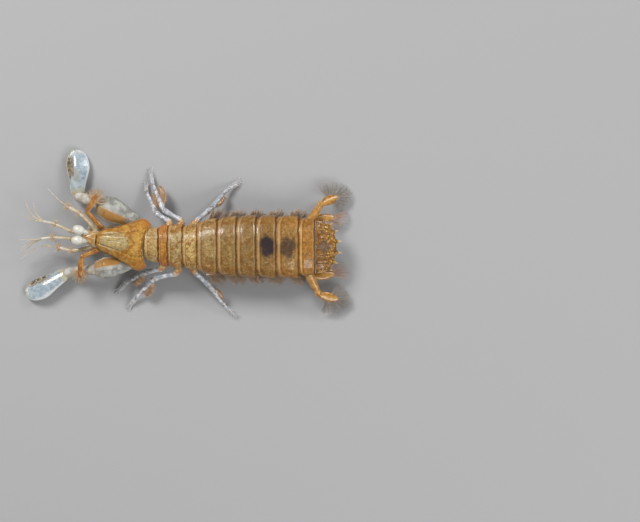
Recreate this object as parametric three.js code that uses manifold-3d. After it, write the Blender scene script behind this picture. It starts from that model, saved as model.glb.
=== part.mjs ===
// A mantis shrimp, life size, lying on its belly with its claws and legs spread.
// Millimetres, +Z up, head towards -X, the animal's right side towards +Y. The floor is at Z = 0.
import * as THREE from "three";
import { mergeVertices } from "three/addons/utils/BufferGeometryUtils.js";
import Module from "manifold-3d";

const wasm = await Module();
wasm.setup();

// Driving sizes
const gap = 0.3; // between pieces that touch
const smallestDetail = 0.03;
const headTurn = THREE.MathUtils.degToRad(-7); // the head end turns towards the right side
const neck = new THREE.Vector3(-10.4, 0, 0); // where it turns
const bodyDepth = 6.2; // from the ridge of the back to the edge of a side plate

const up = new THREE.Vector3(0, 0, 1);
const point = (x, y, z) => new THREE.Vector3(x, y, z);
const mirrored = (p, side) => point(p.x, p.y * side, p.z);
const sides = { right: 1, left: -1 };

// Height of the back's ridge, and the half width of the body, along X
const ridgeHeight = profile([
  [-14.6, 12.2],
  [-8, 12.3],
  [-2, 12.7],
  [5, 13.5],
  [13, 13.8],
  [20, 13.3],
  [27, 11.9],
  [32, 10.4],
]);
const somites = [
  { name: "thorax_5", from: -14.4, to: -10.8, half: [4.3, 4.7], depth: 5.2 },
  { name: "thorax_6", from: -10.5, to: -8.3, half: [5.3, 5.6], depth: 5.4 },
  { name: "thorax_7", from: -8.0, to: -4.2, half: [5.5, 6.1], depth: 5.6 },
  { name: "thorax_8", from: -3.9, to: -0.2, half: [5.7, 6.2], depth: 5.7 },
  { name: "abdomen_1", from: 0.1, to: 5.3, half: [6.8, 7.8], depth: bodyDepth },
  { name: "abdomen_2", from: 5.6, to: 10.6, half: [7.7, 8.3], depth: bodyDepth },
  { name: "abdomen_3", from: 10.9, to: 16.0, half: [8.1, 8.5], depth: bodyDepth },
  { name: "abdomen_4", from: 16.3, to: 21.5, half: [8.2, 8.6], depth: bodyDepth },
  { name: "abdomen_5", from: 21.8, to: 27.7, half: [8.3, 8.5], depth: 6.0 },
  { name: "abdomen_6", from: 28.0, to: 32.0, half: [7.9, 7.7], depth: 5.0 },
];
// The body's middle line bends a little to the right side towards the head
const bend = profile([
  [-14.6, 0.95],
  [-9.5, 0.4],
  [-6, 0.15],
  [-2, 0.1],
  [10, 0.2],
  [32, 0],
]);

// A smooth function through a short list of [x, value]
function profile(pairs) {
  const slope = (i) => {
    const a = pairs[Math.max(i - 1, 0)];
    const b = pairs[Math.min(i + 1, pairs.length - 1)];
    return (b[1] - a[1]) / (b[0] - a[0]);
  };
  return (x) => {
    const i = Math.max(
      pairs.findLastIndex((p, n) => p[0] <= x && n < pairs.length - 1),
      0,
    );
    const [x0, v0] = pairs[i];
    const [x1, v1] = pairs[i + 1];
    const t = THREE.MathUtils.clamp((x - x0) / (x1 - x0), 0, 1);
    const rise = (x1 - x0) * (t * (1 - t) * ((1 - t) * slope(i) - t * slope(i + 1)));
    return v0 + (v1 - v0) * t * t * (3 - 2 * t) + rise;
  };
}

// Closed shapes from points and faces, always facing out
function closed(points, faces) {
  let volume = 0;
  for (const [a, b, c] of faces) {
    volume += points[a].dot(points[b].clone().cross(points[c]));
  }
  const turned = volume < 0 ? faces.map(([a, b, c]) => [a, c, b]) : faces;
  return new THREE.BufferGeometry()
    .setAttribute(
      "position",
      new THREE.Float32BufferAttribute(points.flatMap((p) => p.toArray()), 3),
    )
    .setIndex(turned.flat());
}

// A skin through equal rings of points, ending in a point at either end or in a fan over the ring
function loft(rings, startPoint, endPoint) {
  const count = rings[0].length;
  const middle = (ring) =>
    ring.reduce((sum, p) => sum.add(p), point(0, 0, 0)).divideScalar(count);
  const points = rings.flat();
  const start = points.push(startPoint ?? middle(rings[0])) - 1;
  const end = points.push(endPoint ?? middle(rings.at(-1))) - 1;
  const faces = [];
  rings.forEach((ring, i) => {
    for (let j = 0; j < count; j++) {
      const a = i * count + j;
      const b = i * count + ((j + 1) % count);
      if (i === 0) faces.push([start, b, a]);
      if (i === rings.length - 1) faces.push([end, a, b]);
      else faces.push([a, b, a + count], [b, b + count, a + count]);
    }
  });
  return closed(points, faces);
}

// A tapering limb along a curve. half(t) gives its half width and half height.
function limb(line, half, { steps = 6, around = 8, tip = null, lift = up } = {}) {
  const rings = [];
  for (let i = 0; i <= steps - (tip ? 1 : 0); i++) {
    const t = i / steps;
    const centre = line.getPoint(t);
    const along = line.getTangent(t);
    const side = along.clone().cross(lift).normalize();
    const raise = side.clone().cross(along).normalize();
    const [width, height] = half(t);
    rings.push(
      Array.from({ length: around }, (_, j) => {
        const a = (2 * Math.PI * (j + 0.5)) / around;
        return centre
          .clone()
          .addScaledVector(side, width * Math.cos(a))
          .addScaledVector(raise, height * Math.sin(a));
      }),
    );
  }
  return loft(rings, null, tip);
}

const curve = (...points) => new THREE.CatmullRomCurve3(points, false, "centripetal");
const between = (a, b, t) => a.clone().lerp(b, t);

// One tapered hair, three-sided and ending in a point, bowed towards its lifted side
function bristle(root, tip, { width = 0.6, thick = 0.6, bow = 0, lift = up } = {}) {
  const middle = between(root, tip, 0.5).addScaledVector(lift, bow);
  const half = (t) => [0.58 * width * (1 - 0.4 * t), 0.58 * thick * (1 - 0.35 * t)];
  return limb(curve(root, middle, tip), half, { steps: 2, around: 3, tip, lift });
}

// Seeded random numbers from 0 to 1, the same on every run
function dice(seed) {
  let state = seed;
  return () => {
    state = (state * 16807) % 2147483647;
    return state / 2147483647;
  };
}
const roll = dice(4711);

// A plate between two surfaces over the same grid: top(u, v) and bottom(u, v), u and v from 0 to 1
function plate(columns, rows, top, bottom) {
  const points = [];
  for (const surface of [top, bottom]) {
    for (let r = 0; r <= rows; r++) {
      for (let c = 0; c <= columns; c++) points.push(surface(c / columns, r / rows));
    }
  }
  const wide = columns + 1;
  const under = wide * (rows + 1);
  const faces = [];
  for (let r = 0; r < rows; r++) {
    for (let c = 0; c < columns; c++) {
      const a = r * wide + c;
      const quad = [
        [a, a + 1, a + wide],
        [a + 1, a + wide + 1, a + wide],
      ];
      faces.push(...quad, ...quad.map((f) => f.map((n) => n + under).reverse()));
    }
  }
  const rim = [];
  for (let c = 0; c < columns; c++) rim.push(c);
  for (let r = 0; r < rows; r++) rim.push(r * wide + columns);
  for (let c = columns; c > 0; c--) rim.push(rows * wide + c);
  for (let r = rows; r > 0; r--) rim.push(r * wide);
  rim.forEach((a, i) => {
    const b = rim[(i + 1) % rim.length];
    faces.push([b, a, a + under], [b, a + under, b + under]);
  });
  return closed(points, faces);
}

// Solids for joining and cutting
function solidOf(geometry) {
  const bare = geometry.clone();
  bare.deleteAttribute("normal");
  bare.deleteAttribute("uv");
  const merged = mergeVertices(bare, 1e-4);
  return new wasm.Manifold(
    new wasm.Mesh({
      numProp: 3,
      vertProperties: merged.attributes.position.array,
      triVerts: new Uint32Array(merged.index.array),
    }),
  );
}

function geometryOf(solid) {
  const mesh = solid.getMesh();
  const positions = [];
  for (let i = 0; i < mesh.numVert; i++) {
    positions.push(...mesh.vertProperties.slice(i * mesh.numProp, i * mesh.numProp + 3));
  }
  return new THREE.BufferGeometry()
    .setAttribute("position", new THREE.Float32BufferAttribute(positions, 3))
    .setIndex([...mesh.triVerts]);
}

// The same solid, grown outwards along its vertex normals
function grown(solid, distance) {
  const geometry = geometryOf(solid);
  geometry.computeVertexNormals();
  const { position, normal } = geometry.attributes;
  for (let i = 0; i < position.count; i++) {
    position.setXYZ(
      i,
      position.getX(i) + normal.getX(i) * distance,
      position.getY(i) + normal.getY(i) * distance,
      position.getZ(i) + normal.getZ(i) * distance,
    );
  }
  return solidOf(geometry);
}

const largest = (solid) =>
  solid.decompose().reduce((a, b) => (a.volume() > b.volume() ? a : b));

const tooClose = (a, b) => a.minGap(b, gap) < gap * 0.95;

const finishes = {
  shell: { color: 0xb98a4a, roughness: 0.42 },
  amber: { color: 0xb8702a, roughness: 0.4 },
  thorax: { color: 0xb59a6a, roughness: 0.45 },
  claw: { color: 0xc9d2d8, roughness: 0.25 },
  merus: { color: 0xbfc0b0, roughness: 0.35 },
  tooth: { color: 0x9a7c4a, roughness: 0.35 },
  eye: { color: 0xe8e4da, roughness: 0.3 },
  feeler: { color: 0xc9bda4, roughness: 0.5 },
  leg: { color: 0xb9bfc6, roughness: 0.4 },
  bristle: { color: 0x8f7350, roughness: 0.7 },
  flesh: { color: 0xd3c4a8, roughness: 0.55 },
};
const materials = Object.fromEntries(
  Object.entries(finishes).map(([name, look]) => [
    name,
    new THREE.MeshStandardMaterial({ ...look, metalness: 0 }),
  ]),
);

const floorBlock = solidOf(new THREE.BoxGeometry(200, 200, 20).translate(0, 0, -10));
const headPlace = new THREE.Matrix4()
  .makeTranslation(neck)
  .multiply(new THREE.Matrix4().makeRotationZ(headTurn))
  .multiply(new THREE.Matrix4().makeTranslation(neck.clone().negate()));

const animal = new THREE.Group();
const head = new THREE.Group();
head.applyMatrix4(headPlace);
const trunk = new THREE.Group();
animal.add(head, trunk);

const placed = []; // every piece so far, in the animal's own frame

// Adds one named piece: joins its shapes, cuts it clear of the floor and of all that it comes near
function addPiece(name, finish, group, shapes) {
  const place = group === head ? headPlace : new THREE.Matrix4();
  let made = wasm.Manifold.union(
    shapes.map((shape) => solidOf(shape.clone().applyMatrix4(place))),
  );
  made = made.subtract(floorBlock);
  for (const other of placed) {
    if (tooClose(other.solid, made)) made = made.subtract(grown(other.solid, gap * 1.2));
  }
  made = largest(made.simplify(smallestDetail));
  placed.push({ name, solid: made });
  const geometry = geometryOf(made).applyMatrix4(place.clone().invert());
  const mesh = new THREE.Mesh(geometry, materials[finish]);
  mesh.name = name;
  group.add(mesh);
}

// Carapace: a shield, narrow in front and broad behind, with its rear edge hollowed in the middle
const shield = {
  front: -27.8,
  rear: -13.4,
  hollow: 1.65,
  thickness: 0.9,
  half: profile([
    [-27.8, 1.5],
    [-26.4, 2.7],
    [-23, 3.9],
    [-19, 5.8],
    [-16.4, 7.1],
    [-14.8, 6.9],
    [-13.4, 5.8],
  ]),
  ridge: profile([
    [-27.8, 11.0],
    [-25, 12.0],
    [-20, 12.9],
    [-16, 13.0],
    [-13.4, 12.7],
  ]),
  droop: profile([
    [-27.8, 0.5],
    [-24, 1.6],
    [-18, 3.4],
    [-13.4, 3.2],
  ]),
  groove: 0.3,
  grooveAt: 0.5,
};

function shieldPoint(u, v, sink) {
  const across = 2 * u - 1;
  const edge = shield.front + v * (shield.rear - shield.front);
  const x = edge - shield.hollow * v * v * (1 - across * across);
  const fall = shield.droop(edge) * Math.abs(across) ** 2.2;
  const away = (Math.abs(across) - shield.grooveAt) / 0.09;
  const height = shield.ridge(edge) - fall - shield.groove * Math.exp(-away * away);
  return point(x, across * shield.half(edge), height - sink);
}

function makeCarapace() {
  const top = (u, v) => shieldPoint(u, v, 0);
  const bottom = (u, v) => shieldPoint(u, v, shield.thickness);
  addPiece("carapace", "amber", head, [plate(20, 9, top, bottom)]);
}

// Trunk under the shield, down to the mouth parts. Its top follows the shield's own surface.
const headBody = {
  clear: 0.5,
  from: 0.05,
  to: 0.93,
  half: profile([
    [0, 1.7],
    [0.4, 3.6],
    [0.8, 4.5],
    [1, 4.0],
  ]),
  belly: profile([
    [0, 5.6],
    [0.35, 2.5],
    [0.75, 1.8],
    [1, 4.6],
  ]),
};

function makeHeadBody() {
  const upper = (u, v) => {
    const along = THREE.MathUtils.lerp(headBody.from, headBody.to, v);
    const x = shield.front + along * (shield.rear - shield.front);
    const share = headBody.half(v) / shield.half(x);
    return shieldPoint(0.5 + (u - 0.5) * share, along, shield.thickness + headBody.clear);
  };
  const lower = (u, v) => {
    const edge = upper(u, v);
    const across = Math.abs(2 * u - 1);
    const belly = headBody.belly(v);
    const side = (edge.z - belly) * 0.75 * (1 - Math.sqrt(1 - 0.98 * across ** 2.4));
    return point(edge.x, edge.y * 0.96, belly + side);
  };
  addPiece("head_body", "flesh", head, [plate(10, 7, upper, lower)]);
}

// Front of the head, which carries the eyes and feelers, and the small plate over it
function makeHeadFront() {
  const block = curve(point(-31.4, 0.3, 8.6), point(-29.6, 0.2, 8.6), point(-27.6, 0, 8.6));
  addPiece("rostral_plate", "amber", head, [
    plate(
      8,
      4,
      (u, v) => rostralPoint(u, v, 0),
      (u, v) => rostralPoint(u, v, 0.5),
    ),
  ]);
  addPiece("head_front", "amber", head, [
    limb(block, (t) => [1.7 + 0.7 * t, 1.1 + 0.1 * t], { steps: 3, around: 12 }),
  ]);
}

function rostralPoint(u, v, sink) {
  const across = 2 * u - 1;
  const half = 0.25 + 1.5 * Math.sqrt(v);
  const x = -30.9 + 2.8 * v;
  return point(x, 0.2 * (1 - v) + across * half, 10.8 + 0.25 * v - 0.3 * across * across - sink);
}

const eyeSpot = { x: -33.0, middle: 0.5, apart: 1.45, z: 9.5, long: 1.75, wide: 1.3, high: 1.35 };

function makeEyes() {
  for (const [side, s] of Object.entries(sides)) {
    const middle = point(eyeSpot.x, eyeSpot.middle + eyeSpot.apart * s, eyeSpot.z);
    const ball = new THREE.SphereGeometry(1, 14, 8)
      .rotateX(Math.PI / 2)
      .scale(eyeSpot.long, eyeSpot.wide, eyeSpot.high)
      .rotateZ(-0.16 * s)
      .translate(...middle.toArray());
    const stalk = curve(
      point(-30.2, 0.3 + 0.9 * s, 9.2),
      point(-31.5, 0.4 + 1.2 * s, 9.3),
      middle,
    );
    addPiece(`eye_${side}`, "eye", head, [
      ball,
      limb(stalk, () => [0.75, 0.75], { steps: 2, around: 8 }),
    ]);
  }
}

// One body ring: arched above, with a side plate that hangs a little lower than the flat belly
function somiteRing(x, half, top, depth) {
  const over = 6;
  const middle = bend(x);
  const outline = [];
  for (let i = 0; i <= over; i++) {
    const a = (i / over) * (Math.PI / 2);
    outline.push([
      half * Math.sin(a) ** 0.86,
      top - (depth - 1.1) * (1 - Math.cos(a) ** 0.78),
    ]);
  }
  outline.push([half * 0.985, top - depth]);
  outline.push([half * 0.87, top - depth + 0.05]);
  outline.push([half * 0.8, top - depth + 0.6]);
  outline.push([0, top - depth + 0.8]);
  const ring = outline.map(([y, z]) => point(x, middle + y, z));
  const back = outline.slice(1, -1).reverse();
  return [...ring, ...back.map(([y, z]) => point(x, middle - y, z))];
}

function makeSomites() {
  const stages = [
    { at: 0, wide: 0.955, low: 0.3 },
    { at: 0.2, wide: 0.985, low: 0.08 },
    { at: 0.55, wide: 1, low: 0 },
    { at: 0.88, wide: 1.0, low: 0 },
    { at: 1, wide: 1.015, low: -0.08 },
  ];
  for (const { name, from, to, half, depth } of somites) {
    const rings = stages.map(({ at, wide, low }) => {
      const x = from + (to - from) * at;
      const across = THREE.MathUtils.lerp(half[0], half[1], at) * wide;
      return somiteRing(x, across, ridgeHeight(x) - low, depth - low);
    });
    const finish = name.startsWith("thorax") ? "thorax" : "shell";
    addPiece(name, finish, trunk, [loft(rings)]);
  }
}

// Telson: a sloping, domed plate with three pairs of teeth on its rear edge
const telson = {
  front: 32.3,
  length: 5.7,
  half: 7.3,
  top: 10.1,
  slope: 0.46,
  thick: 1.7,
  keels: [0, 0.3, 0.6],
  keelHeight: 0.28,
  teeth: [
    { across: 0.2, long: 1.7, thick: 0.55 },
    { across: 0.57, long: 1.4, thick: 0.5 },
    { across: 0.84, long: 1.2, thick: 0.45 },
  ],
};

function telsonPoint(u, v, share) {
  const across = 2 * u - 1;
  const reach = 0.18 + 0.82 * Math.sqrt(1 - (0.96 * across) ** 2);
  const x = telson.front + telson.length * reach * v;
  const y = across * telson.half * (1 - 0.05 * v);
  const thin = 1 - 0.5 * Math.max(Math.abs(across) ** 3, v ** 3);
  const dome = telson.top - telson.slope * (x - telson.front) - 0.022 * y * y;
  const keel = telson.keels.some((k) => Math.abs(Math.abs(across) - k) < 0.02);
  const raised = keel && share === 0 ? telson.keelHeight * Math.sin(Math.PI * (0.15 + 0.75 * v)) : 0;
  return point(x, y, dome + raised - telson.thick * thin * share);
}

function makeTelson() {
  const shapes = [
    plate(
      20,
      5,
      (u, v) => telsonPoint(u, v, 0),
      (u, v) => telsonPoint(u, v, 1),
    ),
  ];
  for (const tooth of telson.teeth) {
    for (const s of Object.values(sides)) {
      const u = 0.5 + (tooth.across * s) / 2;
      const edge = telsonPoint(u, 0.9, 0.5);
      const out = telsonPoint(u, 1, 0.5)
        .sub(telsonPoint(0.5, -0.6, 0.5))
        .normalize();
      const tip = telsonPoint(u, 1, 0.5).addScaledVector(out, tooth.long);
      shapes.push(
        limb(new THREE.LineCurve3(edge, tip), (t) => [tooth.thick * (1.3 - t), tooth.thick * (1 - 0.7 * t)], {
          steps: 2,
          around: 6,
          tip,
        }),
      );
    }
  }
  addPiece("telson", "amber", trunk, shapes);
}

// Raptorial claws, each side in its own pose, in the head's frame
const claws = {
  right: {
    root: point(-15.6, 5.6, 7.0),
    merus: point(-27.2, 9.2, 6.6),
    knuckle: point(-30.4, 10.2, 5.4),
    carpus: point(-34.9, 11.4, 2.9),
    tip: point(-36.6, 23.9, 0.85),
    roll: 0,
    fold: -1,
    thigh: [1.0, 2.3, 3.5, 3.0],
  },
  left: {
    root: point(-16.0, -5.0, 7.0),
    merus: point(-26.2, -8.0, 6.3),
    knuckle: point(-29.8, -8.9, 5.2),
    carpus: point(-34.6, -9.8, 3.2),
    tip: point(-45.6, -17.9, 1.0),
    roll: 0.35,
    fold: 1,
    thigh: [1.0, 2.0, 3.0, 2.5],
  },
};
const clawLength = 13.2;
const clawHalfWidth = 3.3;
const clawHalfThickness = 1.6;
const clawWidth = profile([
  [0, 0.5],
  [0.28, 0.7],
  [0.62, 1],
  [0.84, 0.86],
  [0.96, 0.5],
]);

// The frame of a claw's paddle: along it, across it towards the folded finger, and through it
function clawFrame({ carpus, tip, roll, fold }) {
  const along = tip.clone().sub(carpus).normalize();
  const across = along.clone().cross(up).normalize().multiplyScalar(fold);
  across.applyAxisAngle(along, roll);
  const through = across.clone().cross(along).normalize();
  const base = tip.clone().addScaledVector(along, -clawLength);
  const at = (t, side, lift) =>
    base
      .clone()
      .addScaledVector(along, clawLength * t)
      .addScaledVector(across, side * clawHalfWidth)
      .addScaledVector(through, lift * clawHalfThickness);
  return { at, along, across, through };
}

// Paddle: wide towards its end, with the edge on the finger's side drawn in to make room for it
function clawPaddle(frame) {
  const around = 14;
  const stations = [0, 0.06, 0.18, 0.32, 0.46, 0.6, 0.72, 0.83, 0.92, 0.98];
  const rings = stations.map((t) => {
    const wide = clawWidth(t) * Math.sqrt(1 - Math.max(0, (t - 0.8) / 0.215) ** 2);
    const thick = wide ** 0.75 * (0.75 + 0.25 * Math.sin(Math.PI * t));
    return Array.from({ length: around }, (_, j) => {
      const a = (2 * Math.PI * (j + 0.5)) / around;
      const reach = Math.cos(a);
      const drawnIn = reach > 0 ? fingerInset(t) : 1;
      return frame.at(t, wide * reach * drawnIn, thick * Math.sin(a));
    });
  });
  return loft(rings, null, frame.at(1, 0, 0));
}

const fingerInset = (t) => 1 - 0.34 * Math.exp(-(((t - 0.58) / 0.3) ** 4));

// Finger: a curved blade folded back along the paddle's edge, with its teeth turned in
function clawFinger(frame) {
  const line = new THREE.CatmullRomCurve3(
    [0.94, 0.8, 0.6, 0.42, 0.28, 0.19].map((t) => {
      const edge = clawWidth(t) * Math.sqrt(1 - Math.max(0, (t - 0.8) / 0.3) ** 2);
      return frame.at(t, edge * (t > 0.88 ? 0.62 : 0.86), 0);
    }),
  );
  const half = (t) => [0.52 * (1 - t) ** 0.3 * (1 - 0.45 * t), 0.85 * (1 - 0.6 * t)];
  const shapes = [
    limb(line, half, { steps: 8, around: 8, tip: line.getPoint(1), lift: frame.through }),
  ];
  for (const t of [0.25, 0.4, 0.55, 0.7]) {
    const foot = line.getPoint(t);
    const tip = foot.clone().addScaledVector(frame.across, -1.25 + 0.4 * t);
    shapes.push(
      bristle(foot, tip, { width: 0.6, thick: 0.6, lift: frame.through }),
    );
  }
  return shapes;
}

// Half width and half height along the two short pieces between thigh and paddle
const knuckleHalf = (t) => [1.75 - 0.35 * t, 1.7 - 0.35 * t];
const carpusHalf = (t) => [1.25 + 0.25 * Math.sin(Math.PI * t), 1.3 - 0.15 * t];
const thighFlatness = 0.86;

function makeClaws() {
  for (const [side, pose] of Object.entries(claws)) {
    const frame = clawFrame(pose);
    const upper = profile([0, 0.35, 0.82, 1].map((t, i) => [t, pose.thigh[i]]));
    const thigh = curve(pose.root, pose.root.clone().lerp(pose.merus, 0.5), pose.merus);
    addPiece(`claw_merus_${side}`, "merus", head, [
      limb(thigh, (t) => [upper(t), upper(t) * thighFlatness], { steps: 7, around: 14 }),
    ]);
    addPiece(`claw_knuckle_${side}`, "merus", head, [
      limb(
        curve(pose.merus, pose.merus.clone().lerp(pose.knuckle, 0.5), pose.knuckle),
        knuckleHalf,
        { steps: 4, around: 12 },
      ),
    ]);
    const wrist = frame.at(0, 0, 0);
    addPiece(`claw_propodus_${side}`, "claw", head, [clawPaddle(frame)]);
    addPiece(`claw_carpus_${side}`, "merus", head, [
      limb(
        curve(pose.knuckle, pose.knuckle.clone().lerp(wrist, 0.5), wrist),
        carpusHalf,
        { steps: 5, around: 12 },
      ),
    ]);
    addPiece(`claw_finger_${side}`, "tooth", head, clawFinger(frame));
  }
}

// Mouth parts folded under the head: small jointed arms that end in a rounded hand
function makeMaxillipeds() {
  const arms = [
    { root: point(-24.5, 2.4, 4.2), elbow: point(-26.5, 3.2, 2.4), hand: point(-30.6, 2.6, 2.2) },
    { root: point(-20.0, 3.0, 3.4), elbow: point(-22.4, 4.0, 1.2), hand: point(-26.8, 2.6, 0.75) },
  ];
  arms.forEach(({ root, elbow, hand }, n) => {
    for (const [side, s] of Object.entries(sides)) {
      const line = curve(
        mirrored(root, s),
        mirrored(elbow, s),
        mirrored(elbow.clone().lerp(hand, 0.5), s),
        mirrored(hand, s),
      );
      const half = (t) => {
        const palm = Math.exp(-(((t - 0.82) / 0.16) ** 2));
        return [0.65 + 0.45 * palm, 0.6 + 0.3 * palm];
      };
      addPiece(`maxilliped_${side}_${n + 1}`, "flesh", head, [
        limb(line, half, { steps: 8, around: 8, tip: line.getPoint(1) }),
      ]);
    }
  });
}

// Feelers: the first pair has a three-part stem and three lashes, the second a stem and one lash
const antennules = {
  right: {
    stem: [
      point(-30.6, 1.2, 8.0),
      point(-34.9, 1.3, 7.6),
      point(-40.2, 2.8, 7.2),
      point(-43.5, 3.1, 6.8),
    ],
    lashes: [
      [point(-46.4, 4.4, 6.9), point(-48.9, 8.3, 6.6)],
      [point(-45.3, 4.9, 6.0), point(-46.7, 7.9, 4.4)],
      [point(-46.6, 3.2, 7.8), point(-48.8, 4.2, 8.8)],
    ],
  },
  left: {
    stem: [
      point(-30.6, -0.6, 8.0),
      point(-34.9, -0.7, 7.6),
      point(-40.0, -1.0, 7.2),
      point(-43.4, -1.8, 6.8),
    ],
    lashes: [
      [point(-46.3, -3.4, 6.9), point(-48.9, -5.4, 6.6)],
      [point(-45.6, -3.6, 6.0), point(-48.4, -7.3, 4.4)],
      [point(-46.4, -2.5, 7.8), point(-49.0, -2.6, 8.8)],
    ],
  },
};
const antennae = {
  right: {
    stem: [
      point(-28.4, 2.2, 7.4),
      point(-30.6, 4.4, 7.6),
      point(-33.8, 6.6, 7.4),
      point(-37.1, 7.9, 7.0),
    ],
    lash: [point(-39.9, 9.6, 6.2), point(-43.2, 12.2, 5.0)],
  },
  left: {
    stem: [
      point(-28.4, -2.2, 7.4),
      point(-30.6, -3.0, 7.2),
      point(-34.3, -3.9, 6.6),
      point(-38.2, -3.5, 6.0),
    ],
    lash: [point(-43.4, -3.9, 4.6), point(-48.4, -8.0, 3.2)],
  },
};

// Stiff short hairs in a ring round a feeler's joint
function whorl(line, at, count, long) {
  const centre = line.getPoint(at);
  const along = line.getTangent(at);
  const side = along.clone().cross(up).normalize();
  const raise = side.clone().cross(along).normalize();
  return Array.from({ length: count }, (_, i) => {
    const a = (2 * Math.PI * (i + 0.25)) / count;
    const out = side
      .clone()
      .multiplyScalar(Math.cos(a))
      .addScaledVector(raise, 0.7 * Math.sin(a));
    const tip = centre
      .clone()
      .addScaledVector(out, long)
      .addScaledVector(along, long * (0.25 + 0.3 * roll()));
    return bristle(centre, tip, { width: 0.5, thick: 0.5 });
  });
}

// Half width and half height along the stems and the lashes that they end in
const antennuleHalf = (t) => [0.6 - 0.2 * t, 0.56 - 0.18 * t];
const antennaHalf = (t) => [0.8 - 0.3 * t, 0.7 - 0.25 * t];
const lashHalf = (t) => [0.28 - 0.12 * t, 0.28 - 0.12 * t];

function makeFeelers() {
  for (const side of Object.keys(sides)) {
    const { stem, lashes } = antennules[side];
    const stalk = curve(...stem);
    const shapes = [
      limb(stalk, antennuleHalf, { steps: 6, around: 6 }),
      ...whorl(stalk, 0.72, 4, 1.5),
    ];
    for (const [middle, tip] of lashes) {
      const lash = curve(between(stem[3], stem[2], 0.12), middle, tip);
      shapes.push(limb(lash, lashHalf, { steps: 4, around: 4, tip }));
    }
    addPiece(`antennule_${side}`, "feeler", head, shapes);
    const second = antennae[side];
    const end = second.stem[3];
    const base = curve(...second.stem);
    const lash = curve(between(end, second.stem[2], 0.1), ...second.lash);
    addPiece(`antenna_${side}`, "feeler", head, [
      limb(base, antennaHalf, { steps: 6, around: 6 }),
      limb(lash, lashHalf, {
        steps: 5,
        around: 4,
        tip: second.lash[1],
      }),
      ...whorl(base, 0.62, 3, 1.4),
      ...whorl(base, 0.96, 5, 1.5),
    ]);
  }
}

// Antennal scales: a short arm and an oval blade with a fringe at its end
const scales = {
  right: {
    root: point(-27.0, 3.4, 8.6),
    elbow: point(-31.4, 7.2, 9.4),
    tip: point(-29.4, 11.6, 9.6),
    fan: point(-28.4, 13.7, 9.2),
  },
  left: {
    root: point(-27.4, -2.9, 8.4),
    elbow: point(-31.3, -5.2, 8.9),
    tip: point(-31.2, -10.6, 8.2),
    fan: point(-30.9, -13.6, 7.0),
  },
};

const scaleHairs = { count: 7, spread: 1.15, long: 3.2 };
const scaleArmHalf = (t) => [1.0 - 0.2 * t, 0.7 - 0.1 * t];
const scaleBladeHalf = (t) => [0.6 + 0.6 * Math.sin(Math.PI * t), 0.42];

function makeScales() {
  for (const [side, { root, elbow, tip, fan }] of Object.entries(scales)) {
    const arm = curve(root, between(root, elbow, 0.5), elbow);
    const blade = curve(elbow, between(elbow, tip, 0.5), tip);
    const along = fan.clone().sub(tip).normalize();
    const across = along.clone().cross(up).normalize();
    const hairs = Array.from({ length: scaleHairs.count }, (_, i) => {
      const share = (2 * i) / (scaleHairs.count - 1) - 1;
      const foot = blade.getPoint(0.97 - 0.28 * Math.abs(share)).addScaledVector(across, 0.6 * share);
      const angle = scaleHairs.spread * share;
      const end = foot
        .clone()
        .addScaledVector(along, scaleHairs.long * Math.cos(angle) * (0.9 + 0.2 * roll()))
        .addScaledVector(across, scaleHairs.long * 0.8 * Math.sin(angle));
      return bristle(foot, end, { width: 0.7, bow: 0.15 });
    });
    addPiece(`antennal_scale_${side}`, "amber", head, [
      limb(arm, scaleArmHalf, { steps: 3, around: 8 }),
      limb(blade, scaleBladeHalf, { steps: 5, around: 8 }),
      ...hairs,
    ]);
  }
}

// Walking legs: shoulder in the body, then knee, ankle and a brush at the foot
const legs = {
  right_1: [[-9.4, 4.0, 8.2], [-7.7, 6.7, 7.4], [-11.6, 9.5, 5.6], [-14.1, 14.7, 2.2], [-14.5, 17.3, 0.1]],
  right_2: [[-6.0, 4.2, 8.2], [-4.5, 6.9, 7.4], [-9.5, 10.4, 5.6], [-12.5, 17.1, 2.2], [-13.3, 20.9, 0.1]],
  right_3: [[-2.2, 4.4, 8.2], [-0.6, 6.9, 7.0], [3.5, 10.6, 5.0], [7.1, 15.0, 2.2], [11.1, 18.0, 0.1]],
  left_1: [
    [-9.4, -4.0, 8.2], [-10.1, -5.9, 7.0], [-14.4, -7.0, 4.2], [-19.0, -9.2, 1.9], [-22.3, -11.9, 0.1],
  ],
  left_2: [
    [-6.0, -4.2, 8.2], [-5.6, -6.9, 7.4], [-12.2, -8.8, 4.8], [-16.2, -12.9, 2.2], [-19.3, -16.5, 0.1],
  ],
  left_3: [[-2.2, -4.4, 8.2], [-0.9, -6.8, 7.0], [3.2, -10.8, 5.0], [6.5, -15.3, 2.2], [10.4, -19.1, 0.1]],
};

const legShape = profile([
  [0, 1.1],
  [0.2, 0.82],
  [0.3, 0.62],
  [0.5, 0.76],
  [0.62, 0.66],
  [0.82, 0.44],
  [0.86, 0.5],
  [1, 0.3],
]);
const legFlatness = 0.94; // height of a leg as a share of its width
const legBlade = {
  from: 0.1,
  to: 0.85,
  reach: 1.5,
  belly: 0.5,
  slim: 0.3,
  half: 0.4,
  swell: 0.6,
  thin: 0.34,
};
const slightBlade = 0.55; // how far the blade of the last leg stands out, as a share of the others
const footHairs = { count: 4, long: 1.8, from: 0.3, spread: 0.6, lowest: 0.3 };

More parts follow.
